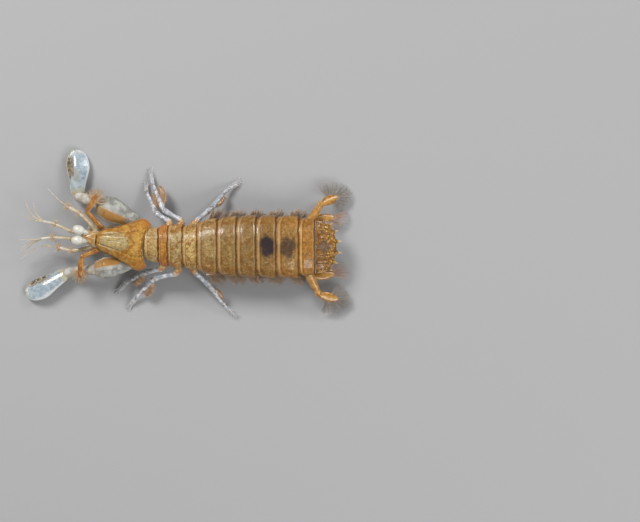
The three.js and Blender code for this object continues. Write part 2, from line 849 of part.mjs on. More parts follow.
// Hairs along the two sides of a foot, leaning towards its tip
function makeFootHairs(line) {
  return Array.from({ length: footHairs.count }, (_, i) => {
    const pair = Math.floor(i / 2) / (footHairs.count / 2 - 1);
    const at = footHairs.from + footHairs.spread * pair;
    const centre = line.getPoint(at);
    const along = line.getTangent(at);
    const side = along.clone().cross(up).normalize().multiplyScalar(i % 2 ? 1 : -1);
    const end = centre
      .clone()
      .addScaledVector(along, footHairs.long * (0.8 + 0.3 * roll()))
      .addScaledVector(side, footHairs.long * (0.4 + 0.15 * roll()));
    end.z = Math.max(end.z, footHairs.lowest);
    return bristle(centre, end, { width: 0.5, thick: 0.5 });
  });
}

function makeLegs() {
  for (const [name, joints] of Object.entries(legs)) {
    const [root, shoulder, knee, ankle, foot] = joints.map((p) => point(...p));
    const slight = name.endsWith("3");
    const whole = curve(
      root,
      shoulder,
      between(shoulder, knee, 0.5),
      knee,
      between(knee, ankle, 0.5),
      ankle,
      foot,
    );
    const outward = ankle.clone().sub(knee).cross(up).normalize();
    if (outward.x < 0) outward.negate();
    outward.multiplyScalar(slight ? slightBlade : 1);
    const bladeRoot = between(knee, ankle, legBlade.from);
    const bladeTip = between(knee, ankle, legBlade.to).addScaledVector(outward, legBlade.reach);
    const bladeMiddle = between(bladeRoot, bladeTip, 0.5).addScaledVector(outward, legBlade.belly);
    const bladeFoot = slight ? legBlade.slim : legBlade.half;
    const blade = curve(bladeRoot, bladeMiddle, bladeTip);
    addPiece(`leg_${name}`, "leg", trunk, [
      limb(whole, (t) => [legShape(t), legShape(t) * legFlatness], { steps: 12, around: 6, tip: foot }),
      limb(blade, (t) => [bladeFoot + legBlade.swell * Math.sin(Math.PI * t), legBlade.thin], {
        steps: 4,
        around: 6,
        tip: bladeTip,
      }),
      ...makeFootHairs(new THREE.LineCurve3(ankle, foot)),
    ]);
  }
}

// Swimmerets: under each ring of the tail, a broad blade that slants back and ends in a comb of
// tapered locks, which reach the floor and stand out past the side plates
const swimmeret = {
  root: 7.9,
  slant: 0.78,
  bladeLong: 5.0,
  inner: 0.5,
  outer: 7.7,
  locks: 9,
  lockLong: 6.9,
  notch: 0.22, // depth at which two locks part, as a share of their length
  splay: [-0.12, 1.0],
  halfThickness: [0.45, 0.4, 0.28, 0.08],
};

function makeSwimmeret(x, s) {
  const { root, slant, bladeLong, inner, outer, locks, lockLong, notch, splay } = swimmeret;
  const drop = point(Math.cos(slant), 0, -Math.sin(slant));
  const face = point(Math.sin(slant), 0, Math.cos(slant));
  const columns = Array.from({ length: 2 * locks + 1 }, (_, c) => {
    const u = c / (2 * locks);
    const start = point(x, THREE.MathUtils.lerp(inner, outer, u) * s, root);
    const long = bladeLong * (0.5 + 0.5 * Math.sqrt(1 - (2 * u - 1) ** 6));
    const edge = start.clone().addScaledVector(drop, long);
    const angle = THREE.MathUtils.lerp(splay[0], splay[1], u ** 2.2) + 0.05 * (roll() - 0.5);
    const out = drop
      .clone()
      .multiplyScalar(Math.cos(angle))
      .add(point(0, s * Math.sin(angle), 0));
    const full = lockLong * (0.95 + 0.12 * roll()) * (1 - 0.42 * u ** 2.2);
    const reach = c % 2 ? full : full * notch;
    const bow = c % 2 ? 0.4 : 0;
    const middle = edge.clone().addScaledVector(out, reach * 0.5).addScaledVector(face, bow);
    return [start, edge, middle, edge.clone().addScaledVector(out, reach)];
  });
  const surface = (u, v, lift) => {
    const c = Math.round(u * 2 * locks);
    const r = Math.round(v * 3);
    const half = swimmeret.halfThickness[r] * (r === 3 && c % 2 === 0 ? 4 : 1);
    return columns[c][r].clone().addScaledVector(face, lift * half);
  };
  return plate(
    2 * locks,
    3,
    (u, v) => surface(u, v, 1),
    (u, v) => surface(u, v, -1),
  );
}

function makeSwimmerets() {
  somites.slice(4, 9).forEach(({ from, to }, n) => {
    for (const [side, s] of Object.entries(sides)) {
      const blade = makeSwimmeret((from + to) / 2 - 0.6, s);
      addPiece(`swimmeret_${side}_${n + 1}`, "bristle", trunk, [blade]);
    }
  });
}

// Tail fan: on each side a stem, an outer paddle and an inner paddle, each edged with a fan of hairs
const tailFan = {
  right: {
    root: point(29.6, 5.2, 8.0),
    joint: point(33.8, 11.9, 5.2),
    outer: point(38.1, 13.8, 3.2),
    innerRoot: point(31.8, 7.6, 5.3),
    inner: point(37.0, 8.3, 3.4),
    innerTurn: -0.42,
  },
  left: {
    root: point(29.4, -5.4, 8.0),
    joint: point(33.2, -13.0, 5.2),
    outer: point(38.2, -14.4, 3.2),
    innerRoot: point(31.8, -8.2, 5.3),
    inner: point(37.2, -7.4, 3.4),
    innerTurn: 0.25,
  },
};
const paddleEdge = 0.45;
const fanHairs = {
  outer: { count: 12, long: 4.8, from: -1.2, to: 1.8, half: 0.8, drop: 2.5 },
  inner: { count: 8, long: 5.0, from: -0.65, to: 0.7, half: 0.75, drop: 2.4 },
};

// A paddle with hairs round its end. The turn swings the fan about the paddle's own direction.
function makePaddle(from, to, s, turn, hairs) {
  const blade = curve(from, between(from, to, 0.5), to);
  const half = (t) => [paddleEdge + hairs.half * Math.sin(Math.PI * t) ** 0.7, paddleEdge];
  const along = to.clone().sub(from).setZ(0).normalize();
  const across = point(-along.y, along.x, 0).multiplyScalar(s);
  const shapes = [
    limb(blade, half, { steps: 5, around: 8 }),
  ];
  for (let i = 0; i < hairs.count; i++) {
    const share = i / (hairs.count - 1);
    const angle = THREE.MathUtils.lerp(hairs.from, hairs.to, share) + turn * s;
    const out = along
      .clone()
      .multiplyScalar(Math.cos(angle))
      .addScaledVector(across, Math.sin(angle));
    const foot = blade.getPoint(0.92 - 0.4 * Math.abs(Math.sin(angle)) ** 1.5);
    foot.addScaledVector(out, 0.3);
    const long = hairs.long * (0.9 + 0.16 * roll());
    const end = foot.clone().addScaledVector(out, long);
    end.z -= hairs.drop * (0.85 + 0.3 * roll());
    shapes.push(bristle(foot, end, { width: 0.65, thick: 0.55, bow: 0.3 }));
  }
  return shapes;
}

const fanStemHalf = (t) => [1.5 - 0.65 * t, 1.0 - 0.25 * t];

function makeTailFan() {
  for (const [side, fan] of Object.entries(tailFan)) {
    const s = sides[side];
    const stem = curve(fan.root, between(fan.root, fan.joint, 0.5), fan.joint);
    const paddles = {
      outer: makePaddle(fan.joint, fan.outer, s, 0, fanHairs.outer),
      inner: makePaddle(fan.innerRoot, fan.inner, s, fan.innerTurn * s, fanHairs.inner),
    };
    addPiece(`uropod_stem_${side}`, "amber", trunk, [
      limb(stem, fanStemHalf, { steps: 5, around: 8 }),
    ]);
    for (const [name, shapes] of Object.entries(paddles)) {
      addPiece(`uropod_${name}_${side}`, "bristle", trunk, shapes);
    }
  }
}

makeCarapace();
makeSomites();
makeHeadBody();
makeHeadFront();
makeEyes();
makeTelson();
makeClaws();
makeScales();
makeFeelers();
makeMaxillipeds();
makeLegs();
makeTailFan();
makeSwimmerets();

// The origin is under the middle of the whole, at floor level
const box = new THREE.Box3().setFromObject(animal, true);
animal.position.set(-(box.min.x + box.max.x) / 2, -(box.min.y + box.max.y) / 2, -box.min.z);

export default animal;
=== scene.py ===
import math

import bpy
import numpy as np
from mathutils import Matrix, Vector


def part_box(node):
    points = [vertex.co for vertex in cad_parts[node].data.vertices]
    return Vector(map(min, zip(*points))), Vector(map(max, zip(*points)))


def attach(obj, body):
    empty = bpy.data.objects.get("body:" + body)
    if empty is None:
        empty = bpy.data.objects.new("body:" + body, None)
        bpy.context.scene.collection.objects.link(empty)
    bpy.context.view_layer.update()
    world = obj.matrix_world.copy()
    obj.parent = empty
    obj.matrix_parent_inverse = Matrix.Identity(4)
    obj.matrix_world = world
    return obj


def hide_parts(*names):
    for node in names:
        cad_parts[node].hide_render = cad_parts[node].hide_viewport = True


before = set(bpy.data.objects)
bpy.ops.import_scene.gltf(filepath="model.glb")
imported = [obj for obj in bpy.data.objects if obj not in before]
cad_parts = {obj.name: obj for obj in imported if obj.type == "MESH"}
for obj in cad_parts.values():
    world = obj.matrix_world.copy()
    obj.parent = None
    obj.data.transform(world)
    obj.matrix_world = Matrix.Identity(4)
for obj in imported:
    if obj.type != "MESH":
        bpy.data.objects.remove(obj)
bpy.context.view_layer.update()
rng = np.random.default_rng(27)

# Sizes are in millimetres in the animal's own frame: +X to the tail, +Y to its right side, floor at 0.
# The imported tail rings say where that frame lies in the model.
mm = 0.001
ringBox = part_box("abdomen_3")
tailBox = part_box("telson")
place = np.array([ringBox[0][0] / mm - 10.9, (tailBox[0][1] + tailBox[1][1]) / mm / 2, 0.0])
headTurn = math.radians(-7)
neck = np.array([-10.4, 0.0, 0.0])
sides = {"right": 1, "left": -1}


def vec(*p):
    return np.array(p, dtype=float)


def unit(v):
    v = np.asarray(v, dtype=float)
    return v / np.maximum(np.linalg.norm(v, axis=-1, keepdims=True), 1e-9)


def mix(a, b, t):
    return a + (b - a) * t


def smoothStep(low, high, x):
    t = np.clip((np.asarray(x, dtype=float) - low) / (high - low), 0, 1)
    return t * t * (3 - 2 * t)


def bump(x, middle, width):
    return np.exp(-(((np.asarray(x, dtype=float) - middle) / width) ** 2))


def profile(pairs):  # a smooth function through [x, value] pairs
    xs, vs = np.array(pairs, dtype=float).T
    slopes = np.gradient(vs, xs)
    slopes[1:-1] = (vs[2:] - vs[:-2]) / (xs[2:] - xs[:-2])

    def at(x):
        x = np.asarray(x, dtype=float)
        i = np.clip(np.searchsorted(xs, x, side="right") - 1, 0, len(xs) - 2)
        step = xs[i + 1] - xs[i]
        t = np.clip((x - xs[i]) / step, 0, 1)
        rise = step * t * (1 - t) * ((1 - t) * slopes[i] - t * slopes[i + 1])
        return mix(vs[i], vs[i + 1], t * t * (3 - 2 * t)) + rise

    return at


def spline(points, count):  # centripetal curve through the points, evenly spaced
    p = np.array(points, dtype=float)
    p = np.vstack([2 * p[0] - p[1], p, 2 * p[-1] - p[-2]])
    out = []
    for a, b, c, d in zip(p[:-3], p[1:-2], p[2:-1], p[3:]):
        steps = [max(np.linalg.norm(v) ** 0.5, 1e-4) for v in (b - a, c - b, d - c)]
        t0, t1, t2, t3 = np.cumsum([0] + steps)
        t = np.linspace(t1, t2, 24, endpoint=False)[:, None]
        ab, bc = mix(a, b, (t - t0) / (t1 - t0)), mix(b, c, (t - t1) / (t2 - t1))
        cd = mix(c, d, (t - t2) / (t3 - t2))
        abc, bcd = mix(ab, bc, (t - t0) / (t2 - t0)), mix(bc, cd, (t - t1) / (t3 - t1))
        out.append(mix(abc, bcd, (t - t1) / (t2 - t1)))
    line = np.vstack(out + [p[-2:-1]])
    run = np.concatenate([[0], np.cumsum(np.linalg.norm(np.diff(line, axis=0), axis=1))])
    even = np.linspace(0, run[-1], count)
    return np.column_stack([np.interp(even, run, line[:, k]) for k in range(3)])


def bent(line, lift=(0, 0, 1)):  # directions along, to the side of and out of a curve
    along = unit(np.gradient(line, axis=0))
    side = unit(np.cross(along, np.asarray(lift, dtype=float)))
    return along, side, unit(np.cross(side, along))


def ringed(values, around, last=0.0):  # one value for each section of a tube and for its domed ends
    return np.repeat(np.concatenate([np.zeros(4), values, np.full(4, last)]), around)


def reachLine(a, b, count):  # from a to b, with its middle as a point of the curve
    return spline([a, mix(a, b, 0.5), b], count)


class Form:  # gathers points, faces and painted values, and becomes one mesh
    def __init__(self, turned=False):
        self.points, self.faces, self.values, self.patches, self.count = [], [], [], [], 0
        self.turned = turned

    def add(self, points, faces, across=0.0, along=0.0, tone=0.5, patch=None):
        points = np.asarray(points, dtype=float).reshape(-1, 3)
        shape = len(points)
        self.points.append(points)
        self.faces.append([tuple(int(i) + self.count for i in f) for f in faces])
        values = [np.broadcast_to(np.asarray(v, dtype=float).ravel(), shape) for v in (across, along, tone)]
        self.values.append(np.column_stack(values))
        self.patches.append(np.zeros((shape, 2)) if patch is None else np.asarray(patch, dtype=float))
        self.count += shape

    def grid(self, points, wrap=False, flip=False, **more):  # rows x columns of points
        rows, columns = points.shape[:2]
        last = columns if wrap else columns - 1
        r, c = np.meshgrid(np.arange(rows - 1), np.arange(last), indexing="ij")
        a, b = (r * columns + c).ravel(), (r * columns + (c + 1) % columns).ravel()
        quads = np.column_stack([a, b, b + columns, a + columns])
        self.add(points.reshape(-1, 3), quads[:, ::-1] if flip else quads, **more)

    def tube(self, line, width, height, around=16, lift=(0, 0, 1), start=True, **more):
        # an oval tube with domed ends; width and height are half sizes, one for each point of the line
        line = np.asarray(line, dtype=float)
        along, side, raised = bent(line, lift)
        width, height = np.broadcast_to(width, len(line)), np.broadcast_to(height, len(line))
        sections, t = [], np.linspace(0, 1, len(line))
        # how far out, and what share of the width
        domes = [(0.2, 0.98), (0.55, 0.83), (0.85, 0.5), (1.0, 0.02)]
        stations = [(i, 1.0, 0.0) for i in range(len(line))] + [(-1, share, out) for out, share in domes]
        if start:
            stations = [(0, share, -out) for out, share in domes[::-1]] + stations
        a = np.linspace(0, 2 * np.pi, around, endpoint=False)
        for i, share, out in stations:
            centre = line[i] + along[i] * out * min(width[i], height[i]) * 0.8
            spread = side[i] * width[i] * np.cos(a)[:, None] + raised[i] * height[i] * np.sin(a)[:, None]
            sections.append(centre + share * spread)
        t = np.array([t[i] for i, _, _ in stations])
        more.setdefault("along", np.repeat(t, around))
        more.setdefault("across", np.tile(np.sin(a), len(stations)))
        self.grid(np.array(sections), wrap=True, **more)

    def build(self, name, material, node, slot, hairs=False):
        points = np.vstack(self.points)
        if self.turned:
            c, s = math.cos(headTurn), math.sin(headTurn)
            away = points - neck
            x, y, z = away.T
            points = np.column_stack([c * x - s * y, s * x + c * y, z]) + neck
        points[:, 2] = np.maximum(points[:, 2], 0.0)
        mesh = bpy.data.meshes.new(name)
        mesh.from_pydata(((points + place) * mm).tolist(), [], [f for part in self.faces for f in part])
        mesh.materials.append(material)
        values = np.vstack(self.values)
        for k, label in enumerate(("across", "along", "tone")):
            painted = mesh.attributes.new(label, "FLOAT", "POINT")
            painted.data.foreach_set("value", values[:, k].astype(np.float32))
        if hairs:  # each hair has a small patch of its own on the map, at the place of its root
            corners = np.zeros(len(mesh.loops), dtype=np.int32)
            mesh.loops.foreach_get("vertex_index", corners)
            unwrap = np.clip(np.vstack(self.patches)[corners], 0, 1)
            mesh.uv_layers.new(name="OFBake").data.foreach_set("uv", unwrap.ravel().astype(np.float32))
        mesh.shade_smooth()
        mesh.validate()
        piece = bpy.data.objects.new(name, mesh)
        bpy.context.scene.collection.objects.link(piece)
        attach(piece, "root")
        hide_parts(node)


class Wire:  # a shader socket that takes part in sums like a number
    def __init__(self, paint, socket):
        self.paint, self.socket = paint, socket

    def sum(self, operation, a, b):
        return self.paint.node("Math", {"operation": operation}, {0: a, 1: b})

    def __add__(self, other):
        return self.sum("ADD", self, other)

    def __sub__(self, other):
        return self.sum("SUBTRACT", self, other)

    def __rsub__(self, other):
        return self.sum("SUBTRACT", other, self)

    def __mul__(self, other):
        return self.sum("MULTIPLY", self, other)

    def __truediv__(self, other):
        return self.sum("DIVIDE", self, other)

    def __rtruediv__(self, other):
        return self.sum("DIVIDE", other, self)

    def __pow__(self, other):
        return self.sum("POWER", self, other)

    def __abs__(self):
        return self.paint.node("Math", {"operation": "ABSOLUTE"}, {0: self})

    __radd__, __rmul__ = __add__, __mul__

    def between(self, low, high):  # a soft step from 0 to 1
        return self.paint.node("MapRange", {"interpolation_type": "SMOOTHSTEP"}, {0: self, 1: low, 2: high})

    def near(self, middle, width):  # 1 at the middle, 0 beyond the width
        return 1 - abs(self - middle).between(width * 0.35, width)


class Paint:  # one material and the nodes that feed its shader
    def __init__(self, name, finish, glow=0.0, deep=(0.004, 0.002, 0.001), scale=0.4):
        self.material = bpy.data.materials.new(name)
        self.material.use_nodes = True
        self.tree = self.material.node_tree
        self.shader = self.tree.nodes["Principled BSDF"]
        if glow:
            finish = {
                **finish, "Subsurface Weight": glow, "Subsurface Radius": deep, "Subsurface Scale": scale
            }
        for label, value in finish.items():
            self.shader.inputs[label].default_value = value

    def node(self, kind, settings=None, inputs=None, out=0):
        made = self.tree.nodes.new("ShaderNode" + kind)
        for key, value in (settings or {}).items():
            setattr(made, key, value)
        for key, value in (inputs or {}).items():
            self.feed(made.inputs[key], value)
        return Wire(self, made.outputs[out])

    def feed(self, socket, value):
        if isinstance(value, Wire):
            self.tree.links.new(value.socket, socket)
        elif isinstance(value, tuple) and len(value) == 3 and socket.type == "RGBA":
            socket.default_value = (*value, 1)
        else:
            socket.default_value = value

    def value(self, label):
        return self.node("Attribute", {"attribute_name": label}, out="Fac")

    def spot(self, axis=None, stretch=None):  # the point on the model, or one of its coordinates in mm
        where = self.node("TexCoord", out="Object")
        if stretch:
            where = self.node("VectorMath", {"operation": "MULTIPLY"}, {0: where, 1: stretch})
        if axis is None:
            return where
        return self.node("SeparateXYZ", None, {0: where}, out=axis) / mm

    def noise(self, size, detail=4, rough=0.55, stretch=None):  # size of the blotches in mm
        inputs = {
            "Vector": self.spot(stretch=stretch), "Scale": 1 / (size * mm), "Detail": detail,
            "Roughness": rough
        }
        return self.node("TexNoise", None, inputs)

    def cells(self, size):
        return self.node("TexVoronoi", None, {"Vector": self.spot(), "Scale": 1 / (size * mm)})

    def blend(self, factor, a, b):
        return self.node("Mix", {"data_type": "RGBA"}, {0: factor, 6: a, 7: b}, out=2)

    def lay(self, mask, colour):  # a colour over what the material has so far
        self.colour = self.blend(mask, self.colour, colour)

    def coat(self, rough=None, height=None, strength=0.4, reach=0.05):
        self.feed(self.shader.inputs["Base Color"], self.colour)
        if rough is not None:
            self.feed(self.shader.inputs["Roughness"], rough)
        if height is not None:
            inputs = {"Strength": strength, "Distance": reach * mm, "Height": height}
            self.feed(self.shader.inputs["Normal"], self.node("Bump", None, inputs))
        return self.material


wet = {
    "Roughness": 0.3, "Coat Weight": 0.45, "Coat Roughness": 0.07, "IOR": 1.4, "Specular IOR Level": 0.35
}


# Floor, light and camera.

studio = {
    "floorColour": (0.40, 0.40, 0.405),
    "world": 0.31,
    "lens": 205.0,  # mm, on a 36 mm sensor
    "distance": 1.0,
    "middle": (33.5, -3.84),  # what the photo's own middle looks at
    "lamps": [  # place, size, watts
        ((-0.32, 0.38, 0.50), 0.26, 3.5),
        ((0.42, -0.36, 0.46), 0.34, 2.1),
        ((0.50, 0.34, 0.40), 0.20, 1.1),
    ],
}


def buildStudio():
    floorPaint = Paint("floorPaint", {"Roughness": 0.85})
    floorPaint.colour = studio["floorColour"]
    floorPaint.coat()
    mesh = bpy.data.meshes.new("floor")
    mesh.from_pydata([(-3, -3, 0), (3, -3, 0), (3, 3, 0), (-3, 3, 0)], [], [(0, 1, 2, 3)])
    mesh.materials.append(floorPaint.material)
    floor = bpy.data.objects.new("floor", mesh)
    bpy.context.scene.collection.objects.link(floor)

    world = bpy.data.worlds.new("studioWorld")
    world.use_nodes = True
    sky = world.node_tree.nodes["Background"]
    sky.inputs["Color"].default_value = (0.98, 0.98, 0.98, 1)
    sky.inputs["Strength"].default_value = studio["world"]
    bpy.context.scene.world = world

    for i, (spot, size, watts) in enumerate(studio["lamps"]):
        light = bpy.data.lights.new(f"lamp{i}", "AREA")
        light.shape, light.size, light.energy = "DISK", size, watts
        lamp = bpy.data.objects.new(f"lamp{i}", light)
        lamp.location = spot
        aim = np.array([0, 0, 0.005]) - np.array(spot)
        pitch, yaw = math.atan2(math.hypot(aim[0], aim[1]), -aim[2]), math.atan2(-aim[0], aim[1])
        lamp.rotation_euler = (pitch, 0, yaw)
        bpy.context.scene.collection.objects.link(lamp)

    camera = bpy.data.cameras.new("camera")
    camera.lens, camera.sensor_width = studio["lens"], 36
    camera.clip_start, camera.clip_end = 0.01, 20
    eye = bpy.data.objects.new("camera", camera)
    x, y = (np.array(studio["middle"]) + place[:2]) * mm
    eye.location = (x, y, studio["distance"] + 0.008)
    bpy.context.scene.collection.objects.link(eye)
    bpy.context.scene.camera = eye
    bpy.context.scene.view_settings.view_transform = "Standard"
    print("studio ready")


buildStudio()


# Tail rings and chest rings.

ridgeHeight = profile(
    [[-14.6, 12.2], [-8, 12.3], [-2, 12.7], [5, 13.5], [13, 13.8], [20, 13.3], [27, 11.9], [32, 10.4]]
)
bend = profile([[-14.6, 0.95], [-9.5, 0.4], [-6, 0.15], [-2, 0.1], [10, 0.2], [32, 0]])
rings = {
    "thorax_5": {"from": -14.4, "to": -10.8, "half": (4.3, 4.7), "depth": 5.2},
    "thorax_6": {"from": -10.5, "to": -8.3, "half": (5.3, 5.6), "depth": 5.4},
    "thorax_7": {"from": -8.0, "to": -4.2, "half": (5.5, 6.1), "depth": 5.6},
    "thorax_8": {"from": -3.9, "to": -0.2, "half": (5.7, 6.2), "depth": 5.7},
    "abdomen_1": {"from": 0.1, "to": 5.3, "half": (6.8, 7.8), "depth": 6.2},
    "abdomen_2": {"from": 5.6, "to": 10.6, "half": (7.7, 8.3), "depth": 6.2},
    "abdomen_3": {"from": 10.9, "to": 16.0, "half": (8.1, 8.5), "depth": 6.2},
    "abdomen_4": {"from": 16.3, "to": 21.5, "half": (8.2, 8.6), "depth": 6.2},
    "abdomen_5": {"from": 21.8, "to": 27.7, "half": (8.3, 8.5), "depth": 6.0},
    "abdomen_6": {"from": 28.0, "to": 32.0, "half": (7.9, 7.7), "depth": 5.0},
}
# middle and side colours, the rim colour of the painted highlights on each ring's rims, how strong the
# orange at the sides is, and the dark patch on the back
ringTones = {
    "thorax_5": {
        "middle": (0.47, 0.31, 0.12), "side": (0.50, 0.33, 0.13), "rim": (0.50, 0.30, 0.10), "orange": 0.3
    },
    "thorax_6": {
        "middle": (0.47, 0.22, 0.045), "side": (0.50, 0.18, 0.03), "rim": (0.36, 0.17, 0.05), "orange": 1.0
    },
    "thorax_7": {
        "middle": (0.38, 0.30, 0.13), "side": (0.46, 0.19, 0.035), "rim": (0.40, 0.20, 0.06), "orange": 0.8
    },
    "thorax_8": {
        "middle": (0.49, 0.34, 0.12), "side": (0.44, 0.20, 0.04), "rim": (0.44, 0.25, 0.09), "orange": 0.6
    },
    "abdomen_1": {
        "middle": (0.33, 0.23, 0.09), "side": (0.38, 0.18, 0.035), "rim": (0.45, 0.25, 0.09), "orange": 0.9
    },
    "abdomen_2": {
        "middle": (0.28, 0.18, 0.06), "side": (0.33, 0.16, 0.03), "rim": (0.44, 0.24, 0.08), "orange": 0.8
    },
    "abdomen_3": {
        "middle": (0.26, 0.16, 0.055), "side": (0.32, 0.16, 0.035), "rim": (0.44, 0.25, 0.09), "orange": 0.8
    },
    "abdomen_4": {
        "middle": (0.27, 0.16, 0.05), "side": (0.32, 0.155, 0.03), "rim": (0.45, 0.25, 0.09), "orange": 0.8,
        "patch": 1.0
    },
    "abdomen_5": {
        "middle": (0.31, 0.17, 0.045), "side": (0.38, 0.18, 0.03), "rim": (0.46, 0.25, 0.08), "orange": 0.9,
        "patch": 0.75
    },
    "abdomen_6": {
        "middle": (0.37, 0.17, 0.03), "side": (0.40, 0.18, 0.03), "rim": (0.55, 0.32, 0.09), "orange": 1.0
    },
}


def ringPaint(name):
    tone = ringTones[name]
    start = rings[name]["from"]
    shine = {**wet, "Coat Weight": 0.32, "Coat Roughness": 0.12}
    paint = Paint(name + "Shell", shine, 0.25)
    across, along = abs(paint.value("across")), paint.value("along")
    cloud = paint.noise(2.4, stretch=(1.5, 0.7, 1))
    fine = paint.noise(0.5, detail=3)
    side = (across + (cloud - 0.5) * 0.35).between(0.42, 0.82) * tone["orange"]
    paint.colour = paint.blend(side, tone["middle"], tone["side"])
    pale = tuple(min(1, c * 1.45 + 0.03) for c in tone["middle"])
    paint.lay(cloud.between(0.48, 0.66) * 0.6, pale)
    amber = paint.noise(1.3, detail=5)
    paint.lay(amber.between(0.54, 0.62) * 0.75, (0.28, 0.105, 0.012))
    mottle = paint.noise(0.55, detail=5, rough=0.7)
    paint.lay(mottle.between(0.5, 0.59) * 0.62, tuple(0.55 * c for c in tone["side"]))
    shade = paint.noise(1.5, detail=6, rough=0.7)
    paint.lay(shade.between(0.49, 0.6) * 0.65, tuple(0.5 * c for c in tone["side"]))
    glow = paint.noise(0.9, detail=6, rough=0.65)
    paint.lay(glow.between(0.54, 0.64) * 0.55, tuple(min(1, 1.7 * c + 0.02) for c in tone["middle"]))
    specks = fine.between(0.57, 0.66) * along.near(0.5, 0.55)
    paint.lay(specks * 0.65, (0.10, 0.05, 0.015))
    if "patch" in tone:
        x, y = paint.spot("X") - place[0], paint.spot("Y") - place[1] - 0.2
        reach = ((x - (start + 2.7)) / 2.9) ** 2 + (y / 3.3) ** 2
        blotch = reach + (cloud - 0.5) * 1.2 + (amber - 0.5) * 1.4
        paint.lay((1 - blotch.between(0.25, 1.2)) * tone["patch"], (0.032, 0.02, 0.022))
    cream = paint.blend(paint.noise(1.1).between(0.45, 0.65) * 0.4, (0.60, 0.50, 0.33), (0.45, 0.25, 0.10))
    paint.lay(paint.value("tone").between(0.55, 0.8), cream)
    # painted highlight: a pale line in the rim colour along each ring's raised rear rim
    rim = along.near(0.9, 0.08) * (1 - across.between(0.86, 0.95))
    paint.lay(rim * 0.3, tone["rim"])
    # painted highlight: a pale arc, lighter than the rim colour, along the rounded front edge of each ring
    arc = along - across ** 8 * 0.22
    arcPart = (0.28 + cloud * 0.6) * (1 - across.between(0.7, 0.98) * 0.55)
    paint.lay(arc.near(0.075, 0.08) * arcPart, tuple(1.15 * c + 0.05 for c in tone["rim"]))
    # painted shadow: a dark line along the rear edge of each ring, where the gap to the next ring lies in
    # shade
    line = (along + (fine - 0.5) * 0.05).near(0.965, 0.04)
    paint.lay(line * 0.85, (0.06, 0.028, 0.01))
    paint.lay(arc.near(0.19, 0.05) * 0.45, (0.14, 0.065, 0.015))
    rough = 0.2 + cloud * 0.2 + fine * 0.08
    return paint.coat(rough, fine * 0.6 + paint.cells(0.35) * 0.7 + amber * 1.2, strength=0.75, reach=0.07)


def ringOutline(half, top, depth, steps=44):
    # half of a ring's section, from the ridge round to the middle of the belly
    a = np.linspace(0, np.pi / 2, steps)
    arch = np.column_stack([half * np.sin(a) ** 0.86, top - (depth - 1.1) * (1 - np.cos(a) ** 0.78)])
    flap = [
        [half * 1.0, top - depth + 0.7], [half * 0.985, top - depth + 0.08],
        [half * 0.93, top - depth - 0.02]
    ]
    belly = [
        [half * 0.87, top - depth + 0.06], [half * 0.82, top - depth + 0.45],
        [half * 0.7, top - depth + 0.66]
    ]
    belly += [[half * 0.4, top - depth + 0.74], [0, top - depth + 0.8]]
    points = np.vstack([arch, flap, belly])
    shares = np.concatenate([np.sin(a), [1, 1, 0.97, 0.9, 0.85, 0.75, 0.4, 0]])
    under = np.concatenate([np.zeros(steps), [0.1, 0.3, 0.6, 0.9, 1, 1, 1, 1]])
    run = np.concatenate([[0], np.cumsum(np.hypot(*np.diff(points, axis=0).T))])
    even = np.linspace(0, run[-1], 64)
    return [np.interp(even, run, values) for values in (*points.T, shares, under)]


